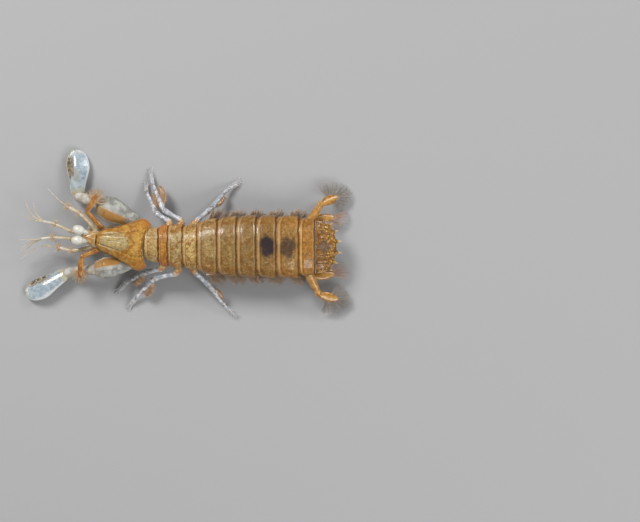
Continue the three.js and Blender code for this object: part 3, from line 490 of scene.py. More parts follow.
def buildRing(name):
    ring = rings[name]
    start, end, depth = ring["from"], ring["to"], ring["depth"]
    tail = name.startswith("abdomen")
    stations = np.concatenate(
        [[-0.22, -0.1], np.linspace(0, 0.8, 15), [0.84, 0.87, 0.9, 0.93, 0.955, 0.975, 0.99, 1.0]]
    )
    rows, across, along, tone = [], [], [], []
    for v in stations:
        x = start + (end - start) * v
        half = mix(ring["half"][0], ring["half"][1], max(v, 0)) * np.interp(
            v, [-0.22, 0, 0.2, 0.55, 1], [0.9, 0.955, 0.985, 1, 1.0]
        )
        low = float(np.interp(v, [-0.22, -0.02, 0.1, 0.25, 0.8], [0.85, 0.32, 0.14, 0.04, 0.0]))
        rim = 0.13 * bump(v, 0.93, 0.05) - 0.28 * float(
            smoothStep(0.955, 1.0, v)
        ) - 0.1 * bump(v, 0.17, 0.05)
        y, z, share, under = ringOutline(half, float(ridgeHeight(x)) - low, depth - low)
        y, z = y.copy(), z.copy()
        onBack = 1 - smoothStep(0.05, 0.5, under)
        z += rim * onBack
        if tail:  # low keels along each side of the back
            for keel, high in ((0.72, 0.12), (0.9, 0.14)):
                z += high * bump(share, keel, 0.035) * onBack * bump(v, 0.55, 0.4)
        # each side plate bulges a little
        swell = (0.2 if tail else 0.32) * float(np.sin(np.pi * np.clip(v, 0, 1)) ** 0.8)
        y += swell * smoothStep(0.82, 1.0, share) * (1 - smoothStep(0.6, 0.95, under))
        middle = float(bend(x))
        wave = 0.09 * np.sin(share * 11 + start * 2) * smoothStep(0.75, 1.0, v)
        shift = 0.35 * smoothStep(0.8, 1.0, v) * smoothStep(0.9, 1.0, share) * (
            1 - smoothStep(0.5, 0.9, under)
        )
        right = np.column_stack([x + wave + shift * (end - start) / 5, middle + y, z])
        left = np.column_stack([x + wave + shift * (end - start) / 5, middle - y, z])[1:-1][::-1]
        rows.append(np.vstack([right, left]))
        across.append(np.concatenate([share, -share[1:-1][::-1]]))
        tone.append(np.concatenate([under, under[1:-1][::-1]]))
        along.append(np.full(len(rows[-1]), v))
    rear = rows[-1]  # the rear edge turns in a little
    centre = np.array([column.mean() for column in rear.T])
    rows.append(rear + (centre - rear) * 0.12 + vec(-0.25, 0, 0))
    across.append(across[-1])
    tone.append(tone[-1])
    along.append(np.full(len(rear), 0.98))
    form = Form()
    rows = np.array(rows)
    form.grid(rows, wrap=True, across=np.array(across), along=np.array(along), tone=np.array(tone))
    for row, order in ((rows[0], 1), (rows[-1], -1)):  # close the two ends
        centre = row.mean(axis=0)
        count = len(row)
        faces = [(count, (i + 1) % count, i)[::order] for i in range(count)]
        form.add(np.vstack([row, centre]), faces, along=0.98, tone=0.3)
    form.build(name + "Ring", ringPaint(name), name, "shell" if tail else "thorax")


for ringName in rings:
    buildRing(ringName)
print("rings built")


# Shield, tail plate and head plates.


def closeEdges(form, upper, lower, across=None, along=None, **more):  # the four rims between two sheets
    for cut, turn in ((np.s_[0], True), (np.s_[-1], False), (np.s_[:, 0], False), (np.s_[:, -1], True)):
        painted = {
            k: np.array([v[cut], v[cut]]) for k,
            v in (("across", across), ("along", along)) if v is not None
        }
        form.grid(np.array([upper[cut], lower[cut]]), flip=turn, **painted, **more)


def slab(form, top, thick, columns, rows, mark=None):
    # a plate under the surface top(u, v), with rounded edges
    u, v = np.meshgrid(np.linspace(0, 1, columns), np.linspace(0, 1, rows))
    upper = top(u, v)
    depth = np.full(u.shape, thick)
    inset = smoothStep(0, 0.05, np.minimum(np.minimum(u, 1 - u), np.minimum(v, 1 - v)))
    upper = upper - np.dstack([0 * u, 0 * u, depth * 0.28 * (1 - inset)])
    lower = upper - np.dstack([0 * u, 0 * u, depth * mix(0.35, 1, inset)])
    across, along = 2 * u - 1, v
    form.grid(upper, across=across, along=along, tone=0.0 if mark is None else mark(upper))
    form.grid(lower, flip=True, across=across, along=along, tone=1.0)
    closeEdges(form, upper, lower, across, along, tone=0.2)


shield = {
    "front": -27.8, "rear": -13.4, "hollow": 1.65, "thickness": 0.9,
    "half": profile(
        [[-27.8, 1.5], [-26.4, 2.7], [-23, 3.9], [-19, 5.8], [-16.4, 7.1], [-14.8, 6.9], [-13.4, 5.8]]
    ),
    "ridge": profile([[-27.8, 11.0], [-25, 12.0], [-20, 12.9], [-16, 13.0], [-13.4, 12.7]]),
    "droop": profile([[-27.8, 0.5], [-24, 1.6], [-18, 3.4], [-13.4, 3.2]]),
}


def shieldSurface(u, v):
    across = 2 * u - 1
    edge = shield["front"] + v * (shield["rear"] - shield["front"])
    x = edge - shield["hollow"] * v * v * (1 - across**2)
    fall = shield["droop"](edge) * np.abs(across) ** 2.2
    z = shield["ridge"](edge) - fall - 0.2 * bump(np.abs(across), 0.5, 0.09)
    z -= 0.09 * bump(np.abs(across), 0.5, 0.02) + 0.1 * bump(across, 0, 0.03) * bump(v, 0.25, 0.3)
    z += 0.16 * bump(np.abs(across), 0.95, 0.035) * smoothStep(0.1, 0.3, v) + 0.12 * bump(v, 0.955, 0.02)
    z -= 0.05 * bump(v, 0.72 - 0.3 * np.abs(across), 0.03) * (1 - smoothStep(0.3, 0.5, np.abs(across)))
    z += 0.12 * bump(np.abs(across), 0.27, 0.07) * bump(v, 0.55, 0.25)
    return np.dstack([x, across * shield["half"](edge), z])


def shieldPaint():
    paint = Paint("shieldShell", wet, 0.2)
    signed, along = paint.value("across"), paint.value("along")
    across = abs(signed)
    cloud, fine = paint.noise(2.2), paint.noise(0.45, detail=3)
    paint.colour = paint.blend(cloud.between(0.4, 0.62), (0.36, 0.15, 0.015), (0.50, 0.27, 0.045))
    reach = paint.value("tone") * 4 + (cloud - 0.5) * 0.7 + (fine - 0.5) * 0.4
    oval = 1 - reach.between(0.75, 1.15)
    olive = paint.blend(paint.noise(1.0).between(0.42, 0.62), (0.36, 0.30, 0.14), (0.50, 0.40, 0.20))
    paint.lay(oval * 0.9, olive)
    dots = fine.between(0.56, 0.66)
    paint.lay(reach.near(1.0, 0.6) * dots * 0.9, (0.06, 0.035, 0.015))
    paint.lay((along - 0.8).near(0.02, 0.12) * (1 - across.between(0.3, 0.5)) * 0.5, (0.58, 0.36, 0.10))
    paint.lay((across + (fine - 0.5) * 0.05).near(0.5, 0.028) * 0.6, (0.13, 0.06, 0.015))
    mark = (along + across * 0.5 + (fine - 0.5) * 0.12).near(0.8, 0.05) * (1 - across.between(0.3, 0.45))
    paint.lay(mark * 0.55, (0.20, 0.09, 0.02))
    paint.lay(along.near(0.975, 0.02) * 0.5, (0.12, 0.05, 0.015))
    paint.lay(across.near(0.985, 0.06) * 0.7, (0.42, 0.12, 0.02))
    paint.lay(across.near(0.93, 0.025) * 0.6, (0.14, 0.05, 0.015))
    streak = paint.noise(0.6, detail=6, rough=0.7)
    paint.lay(streak.between(0.5, 0.6) * 0.6, (0.26, 0.085, 0.012))
    gold = paint.noise(0.7, detail=6, rough=0.7)
    paint.lay(gold.between(0.52, 0.6) * 0.55, (0.66, 0.42, 0.10))
    corner = across.between(0.55, 0.95) * along.between(0.6, 0.95)
    paint.lay(corner * 0.6, (0.46, 0.17, 0.025))
    paint.lay(paint.value("tone").between(0.93, 0.98) * 0.8, (0.50, 0.38, 0.22))
    return paint.coat(
        0.2 + cloud * 0.2, fine * 0.6 + paint.cells(0.4) * 0.6 + streak * 1.2, strength=0.75, reach=0.07
    )


def amberPaint(
    name, base=(0.36, 0.15, 0.02), light=(0.54, 0.30, 0.06), dark=(0.14, 0.055, 0.01), spread=1.2
):
    paint = Paint(name, wet, 0.2)
    cloud, fine = paint.noise(spread, detail=5), paint.noise(0.35, detail=3)
    paint.colour = paint.blend(cloud.between(0.42, 0.62), base, light)
    paint.lay(paint.noise(0.5, detail=5, rough=0.7).between(0.5, 0.6) * 0.4, light)
    paint.lay(paint.noise(spread * 0.7).between(0.58, 0.68) * 0.6, dark)
    return paint.coat(0.2 + cloud * 0.2, cloud * 0.8 + fine * 0.5, strength=0.45)


beak = {"tip": -30.9, "long": 2.8, "half": (0.25, 1.5), "height": 10.8, "thick": 0.5, "aside": 0.2}
oval = {"x": -22.8, "halfLong": 4.3, "halfWide": 2.7, "most": 3.6}  # the green oval on the shield


def ovalReach(p):  # how far a point lies from the middle of the oval, as a share of its size
    away = ((p[..., 0] - oval["x"]) / oval["halfLong"]) ** 2 + (p[..., 1] / oval["halfWide"]) ** 2
    return np.minimum(away, oval["most"]) / 4


def beakSurface(u, v):
    across = 2 * u - 1
    half = beak["half"][0] + beak["half"][1] * np.sqrt(v)
    z = beak["height"] + 0.25 * v - 0.3 * across**2 + 0.1 * bump(across, 0, 0.15) + 0.07 * bump(
        np.abs(across), 0.9, 0.1
    )
    return np.dstack([beak["tip"] + beak["long"] * v, beak["aside"] * (1 - v) + across * half, z])


def buildShield():
    form = Form(turned=True)
    slab(form, shieldSurface, shield["thickness"], 150, 110, mark=ovalReach)
    form.build("shieldPlate", shieldPaint(), "carapace", "amber")

    form = Form(turned=True)
    slab(form, beakSurface, beak["thick"], 40, 40)
    shell = amberPaint("beakShell", base=(0.38, 0.20, 0.06), light=(0.56, 0.38, 0.16))
    form.build("beakPlate", shell, "rostral_plate", "amber")


telson = {
    "front": 32.3, "length": 5.7, "half": 7.3, "top": 10.1, "slope": 0.46, "thick": 1.7,
    "keels": (0, 0.3, 0.6)
}
knobs = np.column_stack(
    [rng.uniform(-0.92, 0.92, 170), rng.uniform(0.1, 0.97, 170), rng.uniform(0.5, 1.0, 170)]
)


teeth = [(0.2, 1.75, 0.85), (0.57, 1.45, 0.75), (0.84, 1.2, 0.6)]  # place across, length and half width
teeth += [(a, 0.42, 0.2) for a in (0.05, 0.1, 0.29, 0.35, 0.41, 0.47, 0.64, 0.7, 0.76, 0.91)]


def tailSurface(u, v, share=0.0):
    across = 2 * u - 1
    reach = 0.18 + 0.82 * np.sqrt(1 - (0.96 * across) ** 2)
    x = telson["front"] + telson["length"] * reach * v
    y = across * telson["half"] * (1 - 0.05 * v)
    thin = 1 - 0.5 * np.maximum(np.abs(across) ** 3, v**3)
    z = telson["top"] - telson["slope"] * (x - telson["front"]) - 0.022 * y * y
    if share == 0:
        for k in telson["keels"]:
            z += 0.24 * bump(np.abs(across), k, 0.035) * np.sin(np.pi * (0.15 + 0.75 * v))
        for a, b, size in knobs:
            high = 0.17 * size * bump(across, a, 0.045 * size) * bump(v, b, 0.055 * size)
            z += high * smoothStep(0.0, 0.75, b + 0.2 * abs(a))
        z -= 0.12 * bump(v, 0.09, 0.035)
    return np.dstack([x, y, z - telson["thick"] * thin * share])


def tailPaint():
    paint = Paint("tailShell", wet, 0.2)
    across, along = abs(paint.value("across")), paint.value("along")
    cloud, grain = paint.noise(1.1, detail=5), paint.noise(0.4, detail=3)
    paint.colour = paint.blend(cloud.between(0.4, 0.62), (0.14, 0.055, 0.006), (0.30, 0.13, 0.014))
    spots = paint.cells(0.75)
    gold = (1 - spots.between(0.15, 0.5)) * along.between(0.2, 0.6)
    paint.lay(gold * 0.75, (0.66, 0.40, 0.08))
    middle = (across / 0.24) ** 2 + ((along - 0.42) / 0.36) ** 2 + (cloud - 0.5)
    paint.lay((1 - middle.between(0.3, 1.2)) * 0.75, (0.12, 0.075, 0.045))
    paint.lay(grain.between(0.58, 0.68) * 0.45, (0.20, 0.07, 0.01))
    paint.lay(along.between(1.05, 1.6) * 0.85, (0.72, 0.56, 0.30))  # tips of the teeth
    return paint.coat(0.3 + cloud * 0.2, grain * 0.6 + cloud * 0.6, strength=0.4)


def tailSpot(across, along):  # one point half way through the plate
    return tailSurface(np.array([[0.5 + across / 2]]), np.array([[along]]), 0.5)[0, 0]


def buildTail():
    form = Form()
    u, v = np.meshgrid(np.linspace(0, 1, 170), np.linspace(0, 1, 80))
    upper, lower = tailSurface(u, v), tailSurface(u, v, 1.0)
    across, along = 2 * u - 1, v
    form.grid(upper, across=across, along=along)
    form.grid(lower, flip=True, across=across, along=along * 0.5)
    closeEdges(form, upper, lower, across, along)
    for across, long, thick in teeth:
        for s in (1, -1):
            out = unit(tailSpot(across * s, 1) - tailSpot(0, -0.6))
            start, tip = tailSpot(across * s, 0.9), tailSpot(across * s, 1) + out * long
            t = np.linspace(0, 1, 12)
            line = start + (tip - start) * t[:, None] + np.outer(0.12 * long * t * t, [0, 0, 1])
            half = thick * np.interp(t, [0, 0.35, 0.7, 1], [1.2, 0.75, 0.28, 0.05])
            run = np.repeat(0.8 + t, 12).tolist() + [1.8] * 48
            form.tube(line, half, half * 0.8, around=12, start=False, along=run, across=across)
    form.build("tailPlate", tailPaint(), "telson", "amber")


buildShield()
buildTail()


# Underside, mouth parts, head front and eyes.


def fleshPaint(name, base=(0.52, 0.40, 0.22), light=(0.66, 0.58, 0.42)):
    paint = Paint(name, wet, 0.3)
    cloud = paint.noise(1.2, detail=4)
    paint.colour = paint.blend(cloud.between(0.4, 0.62), base, light)
    paint.lay(paint.noise(0.8).between(0.6, 0.68) * 0.5, (0.25, 0.12, 0.04))
    return paint.coat(0.3 + cloud * 0.2, paint.noise(0.4) + cloud, strength=0.4)


headBody = {
    "clear": 0.5, "from": 0.05, "to": 0.93,
    "half": profile([[0, 1.7], [0.4, 3.6], [0.8, 4.5], [1, 4.0]]),
    "belly": profile([[0, 5.6], [0.35, 2.5], [0.75, 1.8], [1, 4.6]]),
}
mouthArms = [
    [(-24.5, 2.4, 4.2), (-26.5, 3.2, 2.4), (-30.6, 2.6, 2.2)],
    [(-20.0, 3.0, 3.4), (-22.4, 4.0, 1.2), (-26.8, 2.6, 0.75)],
]


def buildUnderside():
    form = Form(turned=True)
    u, v = np.meshgrid(np.linspace(0, 1, 60), np.linspace(0, 1, 60))
    along = mix(headBody["from"], headBody["to"], v)
    x = shield["front"] + along * (shield["rear"] - shield["front"])
    share = headBody["half"](v) / shield["half"](x)
    upper = shieldSurface(0.5 + (u - 0.5) * share, along) - np.array(
        [0, 0, shield["thickness"] + headBody["clear"]]
    )
    belly = headBody["belly"](v)
    side = (upper[..., 2] - belly) * 0.75 * (1 - np.sqrt(1 - 0.98 * np.abs(2 * u - 1) ** 2.4))
    folds = 0.12 * np.sin(v * 42) * smoothStep(0.1, 0.3, v)
    lower = np.dstack([upper[..., 0], upper[..., 1] * 0.96, belly + side + folds])
    form.grid(upper)
    form.grid(lower, flip=True)
    closeEdges(form, upper, lower)
    form.build("headUnderside", fleshPaint("underside"), "head_body", "flesh")

    arm = fleshPaint("mouthArms", base=(0.46, 0.32, 0.15), light=(0.68, 0.60, 0.46))
    for name, s in sides.items():
        for n, points in enumerate(mouthArms):
            root, elbow, hand = np.array(points) * [1, s, 1]
            form = Form(turned=True)
            line = spline([root, elbow, mix(elbow, hand, 0.5), hand], 48)
            t = np.linspace(0, 1, 48)
            joints = 1 - 0.28 * (bump(t, 0.36, 0.03) + bump(t, 0.62, 0.025))
            palm = bump(t, 0.82, 0.16)
            form.tube(line, (0.62 + 0.45 * palm) * joints, (0.58 + 0.3 * palm) * joints, around=18)
            form.build(f"mouthArm_{name}_{n + 1}", arm, f"maxilliped_{name}_{n + 1}", "flesh")


def buildHeadFront():
    form = Form(turned=True)
    line = spline([vec(-31.4, 0.3, 8.6), vec(-29.6, 0.2, 8.6), vec(-27.8, 0, 8.6)], 24)
    t = np.linspace(0, 1, 24)
    groove = bump(t, 0.45, 0.05)
    form.tube(line, (1.7 + 0.7 * t) * (1 - 0.14 * groove), (1.05 + 0.1 * t) * (1 - 0.1 * groove), around=28)
    for s in (1, -1):  # small scales at the feet of the eye stalks
        points = [(-31.6, 0.3 + 0.55 * s, 9.55), (-30.9, 0.25 + 0.7 * s, 9.62), (-30.2, 0.2 + 0.8 * s, 9.5)]
        form.tube(points, [0.3, 0.42, 0.3], 0.22, around=12)
    shell = amberPaint("headFrontShell", base=(0.42, 0.26, 0.10), light=(0.62, 0.50, 0.32))
    form.build("headFront", shell, "head_front", "amber")


def eyePaint():
    paint = Paint(
        "eyeWhite", {"Roughness": 0.4, "Coat Weight": 0.5, "Coat Roughness": 0.1}, 0.1,
        (0.003, 0.002, 0.002), scale=0.3
    )
    front = 1 - paint.value("along")
    mesh = paint.cells(0.16)
    paint.colour = paint.blend(
        paint.noise(0.9).between(0.45, 0.65) * 0.5, (0.70, 0.68, 0.61), (0.56, 0.51, 0.42)
    )
    paint.lay(front.between(0.8, 0.97) * 0.55, (0.42, 0.42, 0.44))
    return paint.coat(None, mesh * 0.6 + paint.noise(0.5), strength=0.25)


eye = {
    "x": -33.0, "middle": 0.5, "apart": 1.45, "height": 9.5, "half": (1.75, 1.3, 1.35), "turn": -0.16,
    "stalk": (0.66, 0.95)
}


def buildEyes():
    white = eyePaint()
    for name, s in sides.items():
        form = Form(turned=True)
        long, wide, high = eye["half"]
        centre = vec(eye["x"], eye["middle"] + eye["apart"] * s, eye["height"])
        t, a = np.meshgrid(
            np.linspace(0, np.pi, 40), np.linspace(0, 2 * np.pi, 48, endpoint=False), indexing="ij"
        )
        waist = 1 - 0.05 * bump(t, np.pi * 0.38, 0.25) * np.abs(np.sin(a))
        sideways, upward = wide * np.sin(t) * np.cos(a) * waist, high * np.sin(t) * np.sin(a) * waist
        ball = np.dstack([-long * np.cos(t), sideways, upward])
        turn = eye["turn"] * s
        x, y, z = np.moveaxis(ball, -1, 0)
        ball = np.dstack(
            [x * math.cos(turn) - y * math.sin(turn), x * math.sin(turn) + y * math.cos(turn), z]
        )
        form.grid(ball + centre, wrap=True, along=t / np.pi)
        stalk = spline([vec(-30.6, 0.3 + 0.9 * s, 9.2), vec(-31.5, 0.4 + 1.2 * s, 9.3), centre], 16)
        half = np.linspace(*eye["stalk"], 16)
        form.tube(stalk, half, half, around=20, along=1.0)
        form.build(f"eye_{name}Ball", white, f"eye_{name}", "eye")


buildUnderside()
buildHeadFront()
buildEyes()
print("shield, tail plate and head built")


# Raptorial claws.

claws = {
    "right": {
        "root": vec(-15.6, 5.6, 7.0), "merus": vec(-27.2, 9.2, 6.6), "knuckle": vec(-30.4, 10.2, 5.4),
        "carpus": vec(-34.9, 11.4, 2.9), "tip": vec(-36.6, 23.9, 0.85), "roll": 0.0, "fold": -1, "thigh": [
            1.0, 2.3, 3.5, 3.0
        ],
    },
    "left": {
        "root": vec(-16.0, -5.0, 7.0), "merus": vec(-26.2, -8.0, 6.3), "knuckle": vec(-29.8, -8.9, 5.2),
        "carpus": vec(-34.6, -9.8, 3.2), "tip": vec(-45.6, -17.9, 1.0), "roll": 0.35, "fold": 1, "thigh": [
            1.0, 2.0, 3.0, 2.5
        ],
    },
}
clawLong, clawHalf, clawThick = 13.2, 3.3, 1.6
clawWidth = profile([[0, 0.5], [0.28, 0.7], [0.62, 1], [0.84, 0.86], [0.96, 0.5]])


class ClawFrame:  # along, across and through one paddle
    def __init__(self, claw):
        self.along = unit(claw["tip"] - claw["carpus"])
        across = unit(np.cross(self.along, vec(0, 0, 1))) * claw["fold"]
        c, s = math.cos(claw["roll"]), math.sin(claw["roll"])
        self.across = across * c + np.cross(self.along, across) * s
        self.through = unit(np.cross(self.across, self.along))
        self.base = claw["tip"] - self.along * clawLong

    def at(self, t, side, lift):
        t, side, lift = (np.asarray(x, dtype=float)[..., None] for x in (t, side, lift))
        spot = self.base + self.along * clawLong * t + self.across * clawHalf * side
        return spot + self.through * clawThick * lift


def glassPaint():  # the paddles: milky blue-white shell over darker flesh
    paint = Paint(
        "clawGlass", {"Coat Weight": 0.5, "Coat Roughness": 0.05, "IOR": 1.4, "Specular IOR Level": 0.4},
        0.35, (0.002, 0.003, 0.004)
    )
    side, along = paint.value("across"), paint.value("along")
    cloud, fine = paint.noise(2.0, detail=3), paint.noise(0.5)
    paint.colour = paint.blend(cloud.between(0.4, 0.65), (0.30, 0.37, 0.42), (0.46, 0.53, 0.57))
    wisps = paint.noise(0.8, detail=6, rough=0.7)
    paint.lay(wisps.between(0.5, 0.62) * 0.5, (0.66, 0.70, 0.72))
    paint.lay(paint.noise(0.9, detail=6, rough=0.7).between(0.54, 0.66) * 0.4, (0.16, 0.20, 0.24))
    paint.lay(abs(side).between(0.8, 0.97) * 0.85, (0.80, 0.83, 0.82))
    patch = ((side - 0.46) / 0.20) ** 2 + ((along - 0.60) / 0.24) ** 2 + (fine - 0.5) * 0.8
    mottled = paint.blend(
        paint.noise(0.6, detail=5).between(0.45, 0.6), (0.12, 0.07, 0.03), (0.42, 0.28, 0.12)
    )
    paint.lay((1 - patch.between(0.3, 1.2)) * 0.75, mottled)
    second = ((side - 0.1) / 0.26) ** 2 + ((along - 0.42) / 0.20) ** 2 + (cloud - 0.5) * 1.5
    paint.lay((1 - second.between(0.2, 1.2)) * 0.45, (0.45, 0.36, 0.24))
    paint.lay((1 - along.between(0.04, 0.24)) * 0.75, (0.52, 0.42, 0.20))
    paint.lay(fine.between(0.6, 0.7) * along.between(0.7, 0.2) * 0.5, (0.30, 0.22, 0.14))
    paint.lay(along.between(0.86, 1.0) * 0.5, (0.80, 0.78, 0.66))
    return paint.coat(0.12 + cloud * 0.16, cloud * 1.2 + fine * 0.3, strength=0.3)


def armPaint(name="clawArm", base=(0.24, 0.24, 0.215), light=(0.46, 0.46, 0.42)):
    # thigh, knee and wrist of the claws: grey-white with an amber patch on the inner side
    soft = {**wet, "Coat Weight": 0.1, "Coat Roughness": 0.2, "Specular IOR Level": 0.16}
    paint = Paint(name, soft, 0.3, (0.004, 0.003, 0.002))
    inner, along, tone = paint.value("tone"), paint.value("along"), paint.value("across")
    cloud, fine = paint.noise(1.8), paint.noise(0.5, detail=5)
    paint.colour = paint.blend(cloud.between(0.4, 0.64), base, light)
    amber = inner.near(0.78, 0.34) * (along + (cloud - 0.5) * 0.5).between(0.1, 0.7) * (
        0.3 + cloud * 0.7 + fine * 0.8
    )
    paint.lay(amber.between(0.2, 0.75) * 0.88, (0.42, 0.20, 0.035))
    paint.lay(fine.between(0.58, 0.68) * inner.between(0.2, 0.8) * 0.7, (0.20, 0.09, 0.02))
    paint.lay(fine.between(0.62, 0.72) * 0.4, (0.30, 0.26, 0.20))
    paint.lay(inner.between(0.9, 0.98) * along.between(0.3, 0.6) * 0.75, (0.78, 0.76, 0.68))
    # painted highlight: a pale line along the top of each thigh, knee and wrist; the value called tone here
    # is the across value, which is 1 at the top
    paint.lay(tone.near(1.0, 0.025) * along.between(0.2, 0.9) * 0.3, (0.70, 0.70, 0.66))
    paint.lay(along.between(0.93, 0.99) * 0.35, (0.42, 0.32, 0.20))
    return paint.coat(0.16 + cloud * 0.2, cloud + fine * 0.4, strength=0.4)


def fingerPaint():
    paint = Paint("clawFinger", wet, 0.2, scale=0.3)
    along, edge, cloud = paint.value("along"), paint.value("across"), paint.noise(0.8)
    inside = (1 - edge.between(0.45, 0.75)) * along.between(0.05, 0.2)
    paint.colour = paint.blend(cloud.between(0.4, 0.62), (0.50, 0.50, 0.44), (0.66, 0.67, 0.62))
    brown = paint.blend(
        paint.noise(0.7, detail=5).between(0.45, 0.6), (0.07, 0.045, 0.025), (0.36, 0.23, 0.09)
    )
    paint.lay(inside * (1 - along.between(0.65, 0.95)) * 0.92, brown)
    paint.lay(paint.noise(0.4).between(0.58, 0.66) * 0.5, (0.14, 0.07, 0.02))
    return paint.coat(0.15 + cloud * 0.2, cloud, strength=0.3)


def buildClaws():
    glass, arm, finger = glassPaint(), armPaint(), fingerPaint()
    wristSkin = armPaint("clawWrist", base=(0.42, 0.38, 0.31), light=(0.62, 0.60, 0.56))
    for name, claw in claws.items():
        s, axes = sides[name], ClawFrame(claw)

        # thigh: swollen towards the knee, with a rim at the far end; the tube is oval, so the real thigh's
        # sharp upper edge is left out
        upper = profile([[t, claw["thigh"][i]] for i, t in enumerate((0, 0.35, 0.82, 1))])
        line = reachLine(claw["root"], claw["merus"], 60)
        t, around = np.linspace(0, 1, 60), 40
        a = np.linspace(0, 2 * np.pi, around, endpoint=False)
        inner = np.tile((1 - s * np.cos(a)) / 2, 60 + 8)
        half = upper(t) * (1 + 0.035 * bump(t, 0.955, 0.02) - 0.05 * bump(t, 0.915, 0.02))
        form = Form(turned=True)
        form.tube(line, half, half * 0.86, around=around, tone=inner)
        form.build(f"thigh_{name}", arm, f"claw_merus_{name}", "merus")

        wrist = axes.at(0, 0, 0)
        for part, ends, shape in (
            ("knuckle", (claw["merus"], claw["knuckle"]), lambda t: (1.75 - 0.35 * t, 1.7 - 0.35 * t)),
            (
                "carpus", (claw["knuckle"], wrist),
                lambda t: (1.25 + 0.25 * np.sin(np.pi * t), 1.3 - 0.15 * t)
            ),
        ):
            line, t = np.linspace(*ends, 30), np.linspace(0, 1, 30)
            wide, high = shape(t)
            fold = 1 - 0.1 * bump(t, 0.16, 0.05) + 0.04 * bump(t, 0.9, 0.05)
            form = Form(turned=True)
            run = ringed(t, 28, last=1) * 0.9
            form.tube(line, wide * fold, high * fold, around=28, along=run, tone=0.25)
            form.build(f"{part}_{name}", wristSkin, f"claw_{part}_{name}", "merus")

        # paddle: a thick oval blade, drawn in where the finger folds against it
        run, circle = 1 - (1 - np.linspace(0, 1, 90)) ** 1.3, np.linspace(0, 2 * np.pi, 56, endpoint=False)
        t, a = np.meshgrid(run, circle, indexing="ij")
        wide = np.where(t < 0.62, clawWidth(t), np.sqrt(np.maximum(1 - ((t - 0.62) / 0.3801) ** 2, 0)))
        wide = wide * (0.72 + 0.28 * smoothStep(0, 0.08, t))
        thick = np.maximum(wide, 0) ** 0.75 * (0.75 + 0.25 * np.sin(np.pi * t))
        drawn = np.where(np.cos(a) > 0, 1 - 0.34 * np.exp(-(((t - 0.58) / 0.3) ** 4)), 1.0)
        ridge = 1 - 0.07 * bump(np.cos(a), -0.72, 0.12) * np.sin(
            np.pi * np.clip(t, 0, 1)
        ) - 0.05 * bump(t, 0.05, 0.025)
        points = axes.at(t, wide * np.cos(a) * drawn * ridge, thick * np.sin(a) * ridge)
        form = Form(turned=True)
        flip = np.dot(np.cross(axes.across, axes.through), axes.along) > 0
        form.grid(points, wrap=True, flip=bool(flip), across=np.cos(a) * drawn, along=t)
        lid = np.array([points[0], points[0] * 0 + points[0].mean(axis=0)])
        form.grid(lid, wrap=True, flip=not flip)
        form.build(f"paddle_{name}", glass, f"claw_propodus_{name}", "claw")

        # finger: a slender blade along the drawn-in edge, with spines on the side towards the paddle
        stations = np.array([0.94, 0.8, 0.6, 0.42, 0.28, 0.19])
        edge = clawWidth(stations) * np.sqrt(1 - np.maximum(0, (stations - 0.8) / 0.3) ** 2)
        line = spline(axes.at(stations, edge * np.where(stations > 0.88, 0.56, 0.75), 0 * stations), 60)
        t = np.linspace(0, 1, 60)
        form = Form(turned=True)
        wide = 0.86 * np.maximum(1 - t, 0.002) ** 0.3 * (1 - 0.45 * t)
        high = 0.85 * (1 - 0.6 * t) * np.minimum(1, (1 - t) * 12 + 0.1)
        back = np.tile(-np.cos(np.linspace(0, 2 * np.pi, 24, endpoint=False)), 68)
        form.tube(line, wide, high, around=24, lift=axes.through, across=back)
        for at in (0.25, 0.4, 0.55, 0.7):
            foot = line[int(at * 59)]
            k = np.linspace(0, 1, 10)
            spine = foot + axes.through * 0.35 + np.outer(
                k, -axes.across * (1.25 - 0.4 * at)
            ) + np.outer(k**2 * 0.25, axes.along)
            half, run = 0.34 * (1 - k) ** 0.7 + 0.02, np.repeat(np.append(k, np.ones(4)), 10)
            form.tube(spine, half, half, around=10, lift=axes.through, start=False, along=run)
        form.build(f"finger_{name}", finger, f"claw_finger_{name}", "tooth")


buildClaws()
print("claws built")


# Hairs.


